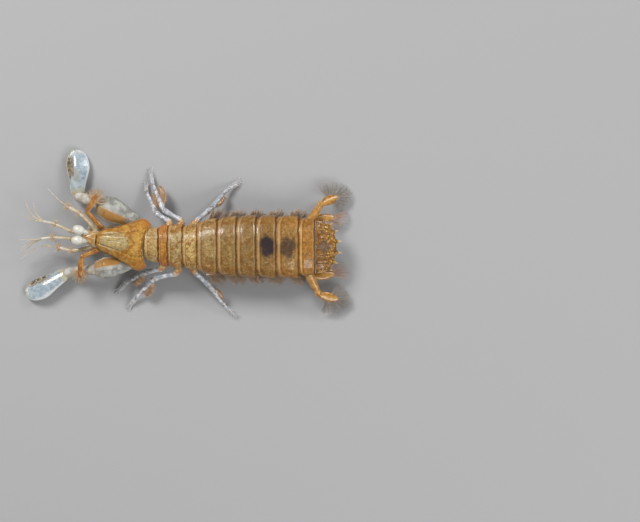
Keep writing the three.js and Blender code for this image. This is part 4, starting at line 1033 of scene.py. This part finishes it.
def strands(
    form, roots, tips, half, spot, bow=0.0, lift=(0, 0, 1), steps=6, barbs=0, barbLong=0.6, spread=1.0
):
    # tapered hairs from roots to tips, bowed towards lift, with finer barbs along both sides of each one;
    # spot is where each root lies on the map, and spread says how far the tones differ
    lift = np.broadcast_to(np.asarray(lift, dtype=float), roots.shape)
    count, t = len(roots), np.linspace(0, 1, steps)
    tone = rng.uniform(0, 1, count) * spread
    half, bow = (np.broadcast_to(np.asarray(x, dtype=float), count) for x in (half, bow))
    unwrap = np.column_stack([np.broadcast_to(x, count) for x in spot])
    line = roots[:, None] + (tips - roots)[:, None] * t[None, :, None]
    line = line + lift[:, None] * (bow[:, None] * np.sin(np.pi * t))[..., None]
    side = unit(np.cross(tips - roots, lift))
    raised = unit(np.cross(side, tips - roots))
    a = np.array([0.5, 2.6, 4.7])
    ring = side[:, None, None] * np.cos(a)[
        None, None, :, None
    ] + raised[:, None, None] * np.sin(a)[None, None, :, None]
    taper = half[:, None] * (1 - 0.85 * t[None] ** 1.5)
    points = line[:, :, None] + ring * taper[:, :, None, None]
    block = steps * 3
    i, j = np.meshgrid(np.arange(steps - 1), np.arange(3), indexing="ij")
    near, far = i * 3, (i + 1) * 3
    quad = np.stack([near + j, near + (j + 1) % 3, far + (j + 1) % 3, far + j], axis=-1).reshape(-1, 4)
    faces = (quad[None] + (np.arange(count) * block)[:, None, None]).reshape(-1, 4)
    aside = np.array([-1, 0, 1])[None, None] * 0.0015
    around = np.stack(np.broadcast_arrays((t[None, :, None] - 0.5) * 0.003, aside), axis=-1)
    patch = (unwrap[:, None, None] + around).reshape(-1, 2)
    form.add(
        points.reshape(-1, 3), faces, along=np.tile(np.repeat(t, 3), count), across=0.0,
        tone=np.repeat(tone, block), patch=patch
    )
    if barbs:
        k = np.tile(
            np.linspace(0.12, 0.97, barbs), (count, 1)
        ) + rng.uniform(-0.3, 0.3, (count, barbs)) / barbs
        base = roots[:, None] + (tips - roots)[:, None] * k[..., None] + lift[:, None] * (
            bow[:, None] * np.sin(np.pi * k)
        )[..., None]
        hand = np.tile(np.where(np.arange(barbs) % 2, 1, -1), (count, 1))
        long = barbLong * np.linalg.norm(tips - roots, axis=1).mean() * 0.2 * (
            0.55 + 0.6 * np.sin(np.pi * k**0.8)
        )
        long = long * rng.uniform(0.75, 1.2, (count, barbs))
        out = side[:, None] * hand[..., None] * 0.8 + unit(tips - roots)[:, None] * 0.62
        out = out + raised[:, None] * rng.uniform(-0.45, 0.25, (count, barbs))[..., None]
        ends = base + out * long[..., None]
        fine = np.minimum(half, 0.035)[:, None] * 0.75
        wide = unit(np.cross(out, raised[:, None])) * fine[..., None]
        thick = raised[:, None] * fine[..., None]
        corners = np.stack([base - wide, base + wide, base + thick * 1.4, ends], axis=2).reshape(-1, 3)
        start = (np.arange(count * barbs) * 4)[:, None, None]
        faces = (np.array([[0, 1, 3], [1, 2, 3], [2, 0, 3]])[None] + start).reshape(-1, 3)
        aside = np.array([-0.0005, 0, 0.0005, 0.001])[None, None] * hand[:, :, None]
        where = unwrap[:, None, None] + np.stack(
            np.broadcast_arrays((k[:, :, None] - 0.5) * 0.003, aside), axis=-1
        )
        form.add(
            corners, faces, along=np.repeat(k.ravel() * 0.6 + 0.4, 4), across=1.0,
            tone=np.repeat(np.repeat(tone, barbs), 4), patch=where.reshape(-1, 2)
        )


def hairPiece(name, material, node, slot, *where, turned=False, **more):  # one piece of hairs
    fringe = Form(turned)
    strands(fringe, *where, **more)
    fringe.build(name, material, node, slot, hairs=True)


def hairPaint(name, root, tip, shaft=None):
    paint = Paint(
        name, {"Roughness": 0.55, "Coat Weight": 0.25, "Coat Roughness": 0.2}, 0.15, (0.003, 0.002, 0.001),
        scale=0.2
    )
    along, tone, barb = paint.value("along"), paint.value("tone"), paint.value("across")
    paint.colour = paint.blend(along.between(0.1, 1.0), root, tip)
    if shaft is not None:
        paint.colour = paint.blend(barb, shaft, paint.colour)
    paint.lay(tone.between(0.3, 1.0) * 0.3, tuple(0.5 * c for c in root))
    paint.lay(paint.noise(0.7).between(0.45, 0.7) * 0.35, tuple(min(1, 1.5 * c) for c in tip))
    return paint.coat(0.55 + paint.noise(0.5) * 0.2)


# Feelers.

feelers = {
    "antennule": {
        "count": 90, "around": 18, "wide": (0.5, 0.2), "high": (0.48, 0.18), "tint": 0.5,
        "joints": (0.34, 0.70, 0.985), "jointLong": 0.012, "pinch": 0.22,
        "swells": (0.30, 0.66, 0.95), "swellLong": 0.03, "swell": 0.16,
        "lashStart": 0.12, "lashCount": 120, "lashHalf": (0.21, 0.15), "beads": 26, "whorls": [
            (0.32, 20, 1.0), (0.70, 20, 1.5)
        ],
    },
    "antenna": {
        "count": 70, "around": 20, "wide": (0.66, 0.26), "high": (0.6, 0.22), "tint": 0.4,
        "joints": (0.3, 0.62, 0.96), "jointLong": 0.015, "pinch": 0.2,
        "swells": (0.25, 0.56, 0.9), "swellLong": 0.04, "swell": 0.14,
        "lashStart": 0.1, "lashCount": 140, "lashHalf": (0.22, 0.16), "beads": 30,
        "whorls": [(0.3, 12, 1.1), (0.62, 22, 1.5), (0.8, 10, 1.0), (0.96, 30, 1.7)],
    },
}
feelerLines = {  # the points of each stem, and the middle and tip of each lash
    "antennule_right": (
        [(-30.6, 1.2, 8.0), (-34.9, 1.3, 7.6), (-40.2, 2.8, 7.2), (-43.5, 3.1, 6.8)],
        [
            [(-46.4, 4.4, 6.9), (-48.9, 8.3, 6.6)], [(-45.3, 4.9, 6.0), (-46.7, 7.9, 4.4)],
            [(-46.6, 3.2, 7.8), (-48.8, 4.2, 8.8)]
        ]
    ),
    "antennule_left": (
        [(-30.6, -0.6, 8.0), (-34.9, -0.7, 7.6), (-40.0, -1.0, 7.2), (-43.4, -1.8, 6.8)],
        [
            [(-46.3, -3.4, 6.9), (-48.9, -5.4, 6.6)], [(-45.6, -3.6, 6.0), (-48.4, -7.3, 4.4)],
            [(-46.4, -2.5, 7.8), (-49.0, -2.6, 8.8)]
        ]
    ),
    "antenna_right": (
        [(-28.4, 2.2, 7.4), (-30.6, 4.4, 7.6), (-33.8, 6.6, 7.4), (-37.1, 7.9, 7.0)],
        [[(-39.9, 9.6, 6.2), (-43.2, 12.2, 5.0)]]
    ),
    "antenna_left": (
        [(-28.4, -2.2, 7.4), (-30.6, -3.0, 7.2), (-34.3, -3.9, 6.6), (-38.2, -3.5, 6.0)],
        [[(-43.4, -3.9, 4.6), (-48.4, -8.0, 3.2)]]
    ),
}


def feelerPaint():
    paint = Paint("feelerSkin", wet, 0.4, (0.004, 0.003, 0.002), scale=0.3)
    along, ring = paint.value("along"), paint.value("tone")
    cloud = paint.noise(0.9)
    paint.colour = paint.blend(cloud.between(0.4, 0.62), (0.50, 0.40, 0.24), (0.64, 0.57, 0.44))
    paint.lay(ring.between(0.45, 0.9) * 0.5, (0.48, 0.27, 0.11))
    paint.lay(along.between(0.5, 1.0) * 0.7, (0.66, 0.63, 0.58))
    return paint.coat(0.25 + cloud * 0.2, paint.noise(0.3) + cloud, strength=0.3)


def whorlHairs(form, line, at, count, long):  # a ring of hairs round a stalk
    count *= 3
    i = np.clip(((at + rng.normal(0, 0.012, count)) * (len(line) - 1)).astype(int), 0, len(line) - 1)
    along, side, raised = (v[i] for v in bent(line))
    a = np.linspace(0, 2 * np.pi, count, endpoint=False) + rng.uniform(0, 0.3, count)
    out = np.cos(a)[:, None] * side + 0.7 * np.sin(a)[:, None] * raised
    tips = line[i] + out * long * rng.uniform(
        0.45, 1.0, count
    )[:, None] + along * long * rng.uniform(-0.1, 0.9, count)[:, None]
    strands(form, line[i], tips, 0.06, ((a / (2 * np.pi)) % 1, at), steps=5, barbs=10, barbLong=0.8)


def lashFuzz(fringe, lash):  # short fine hairs all round a lash
    spots = rng.integers(20, 118, 60)
    along, side, raised = bent(lash)
    a = rng.uniform(0, 2 * np.pi, 60)
    out = side[spots] * np.cos(a)[:, None] + raised[spots] * np.sin(a)[:, None]
    tips = lash[spots] + out * 0.5 + along[spots] * 0.35
    strands(fringe, lash[spots], tips, 0.02, (a / 6.3, spots / 120), steps=3)


def buildFeelers():
    skin = feelerPaint()
    hair = hairPaint("feelerHairs", (0.62, 0.34, 0.15), (0.80, 0.58, 0.38))
    for side in sides:
        for kind, f in feelers.items():
            name = f"{kind}_{side}"
            form, fringe = Form(turned=True), Form(turned=True)
            points, lashes = feelerLines[name]
            points = np.array(points)
            stem, t = spline(points, f["count"]), np.linspace(0, 1, f["count"])
            joints = sum(bump(t, k, f["jointLong"]) for k in f["joints"])
            swell = sum(bump(t, k, f["swellLong"]) for k in f["swells"])
            shape = 1 - f["pinch"] * joints + f["swell"] * swell
            wide, high = ((f[k][0] - f[k][1] * t) * shape for k in ("wide", "high"))
            form.tube(
                stem, wide, high, around=f["around"], tone=ringed(joints + swell * f["tint"], f["around"])
            )
            for middle, tip in lashes:
                lash = spline([mix(points[3], points[2], f["lashStart"]), middle, tip], f["lashCount"])
                k = np.linspace(0, 1, f["lashCount"])
                beads = 0.5 + 0.5 * np.cos(k * 2 * np.pi * f["beads"])
                half = (f["lashHalf"][0] - f["lashHalf"][1] * k) * (1 - 0.16 * beads)
                form.tube(
                    lash, half, half, around=10, along=ringed(k, 10, last=1), tone=ringed(beads * 0.62, 10)
                )
                if kind == "antennule":
                    lashFuzz(fringe, lash)
            for at, count, long in f["whorls"]:
                whorlHairs(fringe, stem, at, count, long)
            form.build(name, skin, name, "feeler")
            fringe.build(f"{kind}Hairs_{side}", hair, name, "feeler", hairs=True)


# Antennal scales.

scales = {
    "right": {
        "root": vec(-27.0, 3.4, 8.6), "elbow": vec(-31.4, 7.2, 9.4), "tip": vec(-29.4, 11.6, 9.6),
        "fan": vec(-28.4, 13.7, 9.2)
    },
    "left": {
        "root": vec(-27.4, -2.9, 8.4), "elbow": vec(-31.3, -5.2, 8.9), "tip": vec(-31.2, -10.6, 8.2),
        "fan": vec(-30.9, -13.6, 7.0)
    },
}


plume = {"count": 44, "bundles": 5, "spread": 1.25, "long": 3.2, "half": 0.07, "rootWide": 0.62}


def buildScales():
    shell = amberPaint("scaleShell", base=(0.27, 0.10, 0.018), light=(0.44, 0.21, 0.05))
    hair = hairPaint("scalePlumes", (0.56, 0.33, 0.16), (0.74, 0.54, 0.36), shaft=(0.52, 0.28, 0.10))
    for name, p in scales.items():
        form = Form(turned=True)
        t = np.linspace(0, 1, 40)
        arm = reachLine(p["root"], p["elbow"], 40)
        joint = bump(t, 0.5, 0.05)
        form.tube(
            arm, (0.85 - 0.2 * t) * (1 - 0.12 * joint), (0.7 - 0.1 * t) * (1 - 0.1 * joint), around=24
        )
        blade = reachLine(p["elbow"], p["tip"], 40)
        form.tube(blade, 0.5 + 0.38 * np.sin(np.pi * t), 0.42 - 0.1 * t, around=28)
        form.build(f"scale_{name}", shell, f"antennal_scale_{name}", "amber")

        along = unit(p["fan"] - p["tip"])
        across = unit(np.cross(along, vec(0, 0, 1)))
        count = plume["count"]
        share = np.linspace(-1, 1, count)
        foot = blade[
            (39 * (0.97 - 0.28 * np.abs(share))).astype(int)
        ] + across * (plume["rootWide"] * share)[:, None]
        clump = np.round(share * plume["bundles"]) / plume["bundles"]  # the hairs stand in bundles
        angle = plume["spread"] * mix(share, clump, 0.65) + rng.uniform(-0.04, 0.04, count)
        long = plume["long"] * rng.uniform(0.78, 1.08, count)
        tips = foot + along * (long * np.cos(angle))[:, None] + across * (
            long * 0.8 * np.sin(angle)
        )[:, None]
        tips = tips + np.outer(rng.uniform(-0.25, 0.2, count), [0, 0, 1])
        where = (foot, tips, plume["half"], (0.5 + share * 0.45, 0.97 - 0.3 * np.abs(share)))
        more = {"turned": True, "bow": 0.15, "steps": 7, "barbs": 40, "barbLong": 0.5}
        hairPiece(f"scalePlume_{name}", hair, f"antennal_scale_{name}", "amber", *where, **more)


buildFeelers()
buildScales()
print("feelers and scales built")


# Walking legs.

legs = {  # root, shoulder, knee, ankle and foot
    "right_1": [
        (-9.4, 4.0, 8.2), (-7.7, 6.7, 7.4), (-11.6, 9.5, 5.6), (-14.1, 14.7, 2.2), (-14.5, 17.3, 0.1)
    ],
    "right_2": [
        (-6.0, 4.2, 8.2), (-4.5, 6.9, 7.4), (-9.5, 10.4, 5.6), (-12.5, 17.1, 2.2), (-13.3, 20.9, 0.1)
    ],
    "right_3": [(-2.2, 4.4, 8.2), (-0.6, 6.9, 7.0), (3.5, 10.6, 5.0), (7.1, 15.0, 2.2), (11.1, 18.0, 0.1)],
    "left_1": [
        (-9.4, -4.0, 8.2), (-10.1, -5.9, 7.0), (-14.4, -7.0, 4.2), (-19.0, -9.2, 1.9), (-22.3, -11.9, 0.1)
    ],
    "left_2": [
        (-6.0, -4.2, 8.2), (-5.6, -6.9, 7.4), (-12.2, -8.8, 4.8), (-16.2, -12.9, 2.2), (-19.3, -16.5, 0.1)
    ],
    "left_3": [
        (-2.2, -4.4, 8.2), (-0.9, -6.8, 7.0), (3.2, -10.8, 5.0), (6.5, -15.3, 2.2), (10.4, -19.1, 0.1)
    ],
}
legHairs = {
    "fuzz": 220, "fuzzLong": (0.5, 0.95), "brush": 130, "brushLong": (1.1, 2.1), "lean": (0.02, 0.62)
}
legShape = profile(
    [[0, 1.1], [0.2, 0.82], [0.3, 0.62], [0.5, 0.76], [0.62, 0.66], [0.82, 0.44], [0.86, 0.5], [1, 0.3]]
)


def legPaint():
    paint = Paint("legSkin", wet, 0.35, (0.003, 0.003, 0.003), scale=0.3)
    along, joint = paint.value("along"), paint.value("tone")
    cloud, fine = paint.noise(1.1, detail=5), paint.noise(0.5)
    paint.colour = paint.blend(cloud.between(0.4, 0.62), (0.34, 0.38, 0.44), (0.70, 0.70, 0.70))
    mottle = paint.noise(0.9, detail=6, rough=0.65)
    paint.lay(mottle.between(0.5, 0.6) * along.between(0.3, 0.5) * 0.8, (0.20, 0.11, 0.055))
    paint.lay(joint.between(0.2, 1.0) * 0.3, (0.50, 0.36, 0.22))
    paint.lay(
        (1 - along.between(0.13, 0.26)) * 0.92,
        paint.blend(cloud.between(0.4, 0.6), (0.48, 0.20, 0.04), (0.60, 0.36, 0.12))
    )
    paint.lay(along.between(0.86, 1.0) * 0.5, (0.66, 0.60, 0.54))
    return paint.coat(0.2 + cloud * 0.2, cloud + fine * 0.5, strength=0.35)


def buildLegs():
    skin = legPaint()
    brush = hairPaint("footHairs", (0.66, 0.62, 0.58), (0.88, 0.87, 0.86))
    fuzz = hairPaint("branchHairs", (0.42, 0.25, 0.15), (0.60, 0.43, 0.32))
    branch = fleshPaint("sideBranch", base=(0.30, 0.16, 0.07), light=(0.50, 0.34, 0.20))
    for name, places in legs.items():
        root, shoulder, knee, ankle, foot = np.array(places)
        slight = name.endswith("3")
        points = [root, shoulder, mix(shoulder, knee, 0.5), knee, mix(knee, ankle, 0.5), ankle, foot]
        line, t = spline(points, 110), np.linspace(0, 1, 110)
        at = [float(np.argmin(np.linalg.norm(line - p, axis=1))) / 109 for p in (shoulder, knee, ankle)]
        joints = sum(bump(t, k, 0.012) for k in at) + 0.6 * bump(t, at[0] * 0.55, 0.012)
        swell = sum(bump(t, k - 0.04, 0.03) for k in at)
        # each segment's share of the leg's shape
        run = np.interp(t, [0, *at, 1], [0, 1 / 6, 1 / 2, 5 / 6, 1])
        half = legShape(run) * (1 - 0.2 * joints + 0.12 * swell) * np.minimum(1, (1 - t) * 14 + 0.25)
        form = Form()
        painted = {"along": ringed(run, 22, last=1), "tone": ringed(joints + swell * 0.4, 22)}
        form.tube(line, half, half * 0.94, around=22, **painted)
        form.build(f"leg_{name}", skin, f"leg_{name}", "leg")

        outward = unit(np.cross(ankle - knee, vec(0, 0, 1)))
        outward = outward * (1 if outward[0] > 0 else -1) * (0.55 if slight else 1)
        first, last = mix(knee, ankle, 0.1), mix(knee, ankle, 0.85) + outward * 1.5
        blade = spline([first, mix(first, last, 0.5) + outward * 0.5, last], 40)
        k = np.linspace(0, 1, 40)
        half = (0.3 if slight else 0.4) + 0.6 * np.sin(np.pi * k)
        form = Form()
        form.tube(blade, half * 0.9, 0.32, around=24)
        form.build(f"legBranch_{name}", branch, f"leg_{name}", "leg")

        count = legHairs["fuzz"]
        a, b = rng.uniform(0.2, 1, count), rng.uniform(0, 2 * np.pi, count)
        i = (a * 39).astype(int)
        along, side, raised = (v[i] for v in bent(blade))
        out = side * np.cos(b)[:, None] + raised * (0.4 * np.sin(b))[:, None]
        start = blade[i] + side * (
            half[i] * 0.82 * np.cos(b)
        )[:, None] + raised * (0.3 * np.sin(b))[:, None]
        tips = start + unit(out + along * 1.0) * rng.uniform(*legHairs["fuzzLong"], count)[:, None]
        hairPiece(
            f"branchFuzz_{name}", fuzz, f"leg_{name}", "leg", start, tips, 0.035, (b / 6.3, a), steps=4
        )

        count = legHairs["brush"]
        a, hand = rng.uniform(at[2] + 0.1 * (1 - at[2]), 0.985, count), rng.choice([-1, 1], count)
        i = (a * 109).astype(int)
        along, side, raised = (v[i] for v in bent(line))
        lean = rng.uniform(*legHairs["lean"], count)
        long = rng.uniform(*legHairs["brushLong"], count) * np.clip(
            1.15 - 0.35 * (1 - a) / (1 - at[2]), 0.5, 1.2
        )
        out = unit(along + side * (hand * lean)[:, None] + raised * rng.uniform(-0.1, 0.5, count)[:, None])
        tips = line[i] + out * long[:, None]
        tips[:, 2] = np.maximum(tips[:, 2], 0.06)
        where = (line[i], tips, 0.045, (0.5 + hand * lean * 0.5, a))
        more = {"steps": 5, "barbs": 14, "barbLong": 0.7, "spread": 0.6}
        hairPiece(f"footBrush_{name}", brush, f"leg_{name}", "leg", *where, **more)


# Swimmerets.

swimmeret = {
    "root": 7.9, "slant": 0.78, "bladeLong": 5.0, "inner": 0.5, "outer": 7.7, "lockLong": 6.9,
    "splay": (-0.12, 1.0)
}


def buildSwimmerets():
    skin = fleshPaint("swimmeretSkin", base=(0.60, 0.46, 0.32), light=(0.76, 0.68, 0.58))
    hair = hairPaint("swimmeretHairs", (0.44, 0.27, 0.16), (0.60, 0.43, 0.30))
    k = swimmeret
    drop = vec(math.cos(k["slant"]), 0, -math.sin(k["slant"]))
    face = vec(math.sin(k["slant"]), 0, math.cos(k["slant"]))
    for n, (start, stop) in enumerate(
        (rings[f"abdomen_{i}"]["from"], rings[f"abdomen_{i}"]["to"]) for i in range(1, 6)
    ):
        for name, s in sides.items():
            x = (start + stop) / 2 - 0.6

            def at(u):  # places along the root line
                return vec(x, 0, k["root"]) + np.outer(mix(k["inner"], k["outer"], u) * s, [0, 1, 0])

            def reach(u):  # how far the blade hangs there
                return k["bladeLong"] * (0.5 + 0.5 * np.sqrt(np.maximum(1 - (2 * u - 1) ** 6, 0)))

            u, v = np.meshgrid(np.linspace(0, 1, 50), np.linspace(0, 1, 24))
            base = vec(x, 0, k["root"]) + mix(k["inner"], k["outer"], u)[..., None] * s * vec(0, 1, 0)
            middle = base + drop * (reach(u) * v * 1.06)[..., None]
            thick = 0.42 * np.sqrt(np.maximum(1 - (2 * u - 1) ** 4, 0.02)) * (1 - 0.45 * v)
            thick = thick * (1 - 0.4 * bump(v, 0.45, 0.04)) * (1 - 0.3 * bump(u, 0.52, 0.04) * (v > 0.45))
            thick = thick * np.where(v > 0.97, 0.2, 1)
            form = Form()
            form.grid(middle + face * thick[..., None], flip=s < 0)
            form.grid(middle - face * thick[..., None], flip=s > 0)
            form.build(f"swimmeret_{name}_{n + 1}", skin, f"swimmeret_{name}_{n + 1}", "bristle")

            count = 150
            share = np.clip(np.linspace(0, 1, count) + rng.uniform(-0.01, 0.01, count), 0, 1)
            edge = at(share) + np.outer(reach(share) * rng.uniform(0.86, 1.0, count), drop)
            angle = mix(*k["splay"], share**2.2) + rng.normal(0, 0.1, count)
            out = np.outer(np.cos(angle), drop) + np.outer(s * np.sin(angle), [0, 1, 0])
            long = k["lockLong"] * rng.uniform(0.72, 1.04, count) * (1 - 0.42 * share**2.2)
            tips = edge + out * long[:, None] + np.outer(rng.uniform(-0.5, 0.3, count), face)
            tips[:, 2] = np.maximum(tips[:, 2], 0.08)
            fringe = Form()
            strands(fringe, edge, tips, 0.07, (share, 0.95), 0.35, face, steps=7, barbs=30, barbLong=0.62)

            # shorter hairs down the outer margin, which show past the side plates
            count = 70
            v = rng.uniform(0.25, 1, count)
            edge = at(np.full(count, 0.985)) + np.outer(k["bladeLong"] * 0.75 * v, drop)
            angle = rng.uniform(0.75, 1.35, count)
            out = np.outer(np.cos(angle), drop) + np.outer(s * np.sin(angle), [0, 1, 0])
            tips = edge + out * rng.uniform(2.0, 2.9, count)[:, None] + np.outer(
                rng.uniform(-0.3, 0.5, count), face
            )
            strands(fringe, edge, tips, 0.06, (0.985, v), 0.2, face, steps=6, barbs=20, barbLong=0.9)
            fringe.build(
                f"swimmeretFringe_{name}_{n + 1}", hair, f"swimmeret_{name}_{n + 1}", "bristle", hairs=True
            )


# Tail fan.

tailFan = {
    "right": {
        "root": vec(29.6, 5.2, 8.0), "joint": vec(33.8, 11.9, 5.2), "outer": vec(38.1, 13.8, 3.2),
        "innerRoot": vec(31.8, 7.6, 5.3), "inner": vec(37.0, 8.3, 3.4), "turn": -0.42,
    },
    "left": {
        "root": vec(29.4, -5.4, 8.0), "joint": vec(33.2, -13.0, 5.2), "outer": vec(38.2, -14.4, 3.2),
        "innerRoot": vec(31.8, -8.2, 5.3), "inner": vec(37.2, -7.4, 3.4), "turn": 0.25,
    },
}
fanHairs = {
    "outer": {
        "count": 54, "long": 4.8, "from": -1.2, "to": 1.8, "half": 0.8, "drop": 2.5, "barbs": 70,
        "barbLong": 0.42
    },
    "inner": {
        "count": 30, "long": 5.0, "from": -0.65, "to": 0.7, "half": 0.75, "drop": 2.4, "barbs": 34,
        "barbLong": 0.34
    },
}


def paddlePaint():
    paint = Paint("fanPaddle", wet, 0.3, (0.005, 0.003, 0.001))
    side, along, cloud = abs(paint.value("across")), paint.value("along"), paint.noise(0.8)
    paint.colour = paint.blend(cloud.between(0.4, 0.62), (0.34, 0.14, 0.022), (0.50, 0.25, 0.05))
    paint.lay(side.between(0.8, 1.0) * 0.4, (0.58, 0.36, 0.08))
    paint.lay(along.between(0.8, 1.0) * 0.5, (0.70, 0.45, 0.22))
    return paint.coat(0.18 + cloud * 0.2, cloud + paint.noise(0.3) * 0.5, strength=0.35)


def buildTailFan():
    stemShell = amberPaint(
        "fanStem", base=(0.38, 0.17, 0.035), light=(0.54, 0.30, 0.08), dark=(0.22, 0.09, 0.02), spread=0.9
    )
    paddle = paddlePaint()
    hair = {
        "outer": hairPaint(
            "fanHairsOuter", (0.33, 0.28, 0.23), (0.52, 0.48, 0.44), shaft=(0.36, 0.27, 0.20)
        ),
        "inner": hairPaint("fanHairsInner", (0.48, 0.26, 0.16), (0.60, 0.43, 0.34)),
    }
    for name, fan in tailFan.items():
        s = sides[name]
        line, t = reachLine(fan["root"], fan["joint"], 50), np.linspace(0, 1, 50)
        form = Form()
        rim = 1 + 0.08 * bump(t, 0.93, 0.03) - 0.08 * bump(t, 0.87, 0.03)
        form.tube(line, (1.5 - 0.65 * t) * rim, (1.0 - 0.25 * t) * rim, around=30)
        along, side, _ = bent(line)
        # thorns at the far end and along the hind edge
        for at, hand in ((0.96, 1), (0.96, -1), (0.55, 1), (0.75, 1)):
            i = int(at * 49)
            k = np.linspace(0, 1, 8)
            foot = line[i] + side[i] * hand * (1.5 - 0.65 * at) * 0.75
            out = (along[i] * 0.8 + side[i] * hand * 0.35) * (1.0 if at > 0.9 else 0.6)
            thorn = foot + np.outer(k, out)
            form.tube(thorn, 0.24 * (1 - k) + 0.02, 0.22 * (1 - k) + 0.02, around=10, start=False)
        form.build(f"fanStem_{name}", stemShell, f"uropod_stem_{name}", "amber")

        for part, first, last, turn in (
            ("outer", fan["joint"], fan["outer"], 0), ("inner", fan["innerRoot"], fan["inner"], fan["turn"])
        ):
            h, node = fanHairs[part], f"uropod_{part}_{name}"
            blade, t = reachLine(first, last, 50), np.linspace(0, 1, 50)
            half = (0.45 + h["half"] * np.sin(np.pi * t) ** 0.7) * (
                1 - 0.1 * bump(t, 0.62, 0.02) * (part == "outer")
            )
            form = Form()
            form.tube(blade, half, 0.45 - 0.12 * t, around=30)
            along, side, _ = bent(blade)
            if part == "outer":  # a row of short spines along the outer edge
                for at in np.linspace(0.2, 0.62, 8):
                    i = int(at * 49)
                    out = side[i] * (1 if side[i][1] * s > 0 else -1)
                    k = np.linspace(0, 1, 7)
                    spine = blade[i] + out * half[i] * 0.85 + np.outer(
                        k, (out * 0.45 + along[i] * 0.75) * 0.85
                    )
                    form.tube(
                        spine, 0.15 * (1 - k) + 0.015, 0.15 * (1 - k) + 0.015, around=8, start=False,
                        along=1.0
                    )
            form.build(f"fan_{part}_{name}", paddle, node, "bristle")

            forward = unit((last - first) * [1, 1, 0])
            across = vec(-forward[1], forward[0], 0) * s
            count = h["count"]
            angle = np.linspace(h["from"], h["to"], count) + turn * s + rng.normal(0, 0.025, count)
            out = np.outer(np.cos(angle), forward) + np.outer(np.sin(angle), across)
            spot = 0.92 - 0.4 * np.abs(np.sin(angle)) ** 1.5
            foot = blade[(spot * 49).astype(int)] + out * 0.3
            tips = foot + out * (h["long"] * rng.uniform(0.84, 1.04, count))[:, None]
            tips[:, 2] -= h["drop"] * rng.uniform(0.75, 1.15, count)
            tips[:, 2] = np.maximum(tips[:, 2], 0.08)
            where = (foot, tips, 0.075, (0.5 + angle * 0.2, spot))
            more = {"bow": 0.3, "steps": 8, "barbs": h["barbs"], "barbLong": h["barbLong"]}
            hairPiece(f"fanHair_{part}_{name}", hair[part], node, "bristle", *where, **more)


buildLegs()
buildSwimmerets()
buildTailFan()
print("legs, swimmerets and tail fan built")
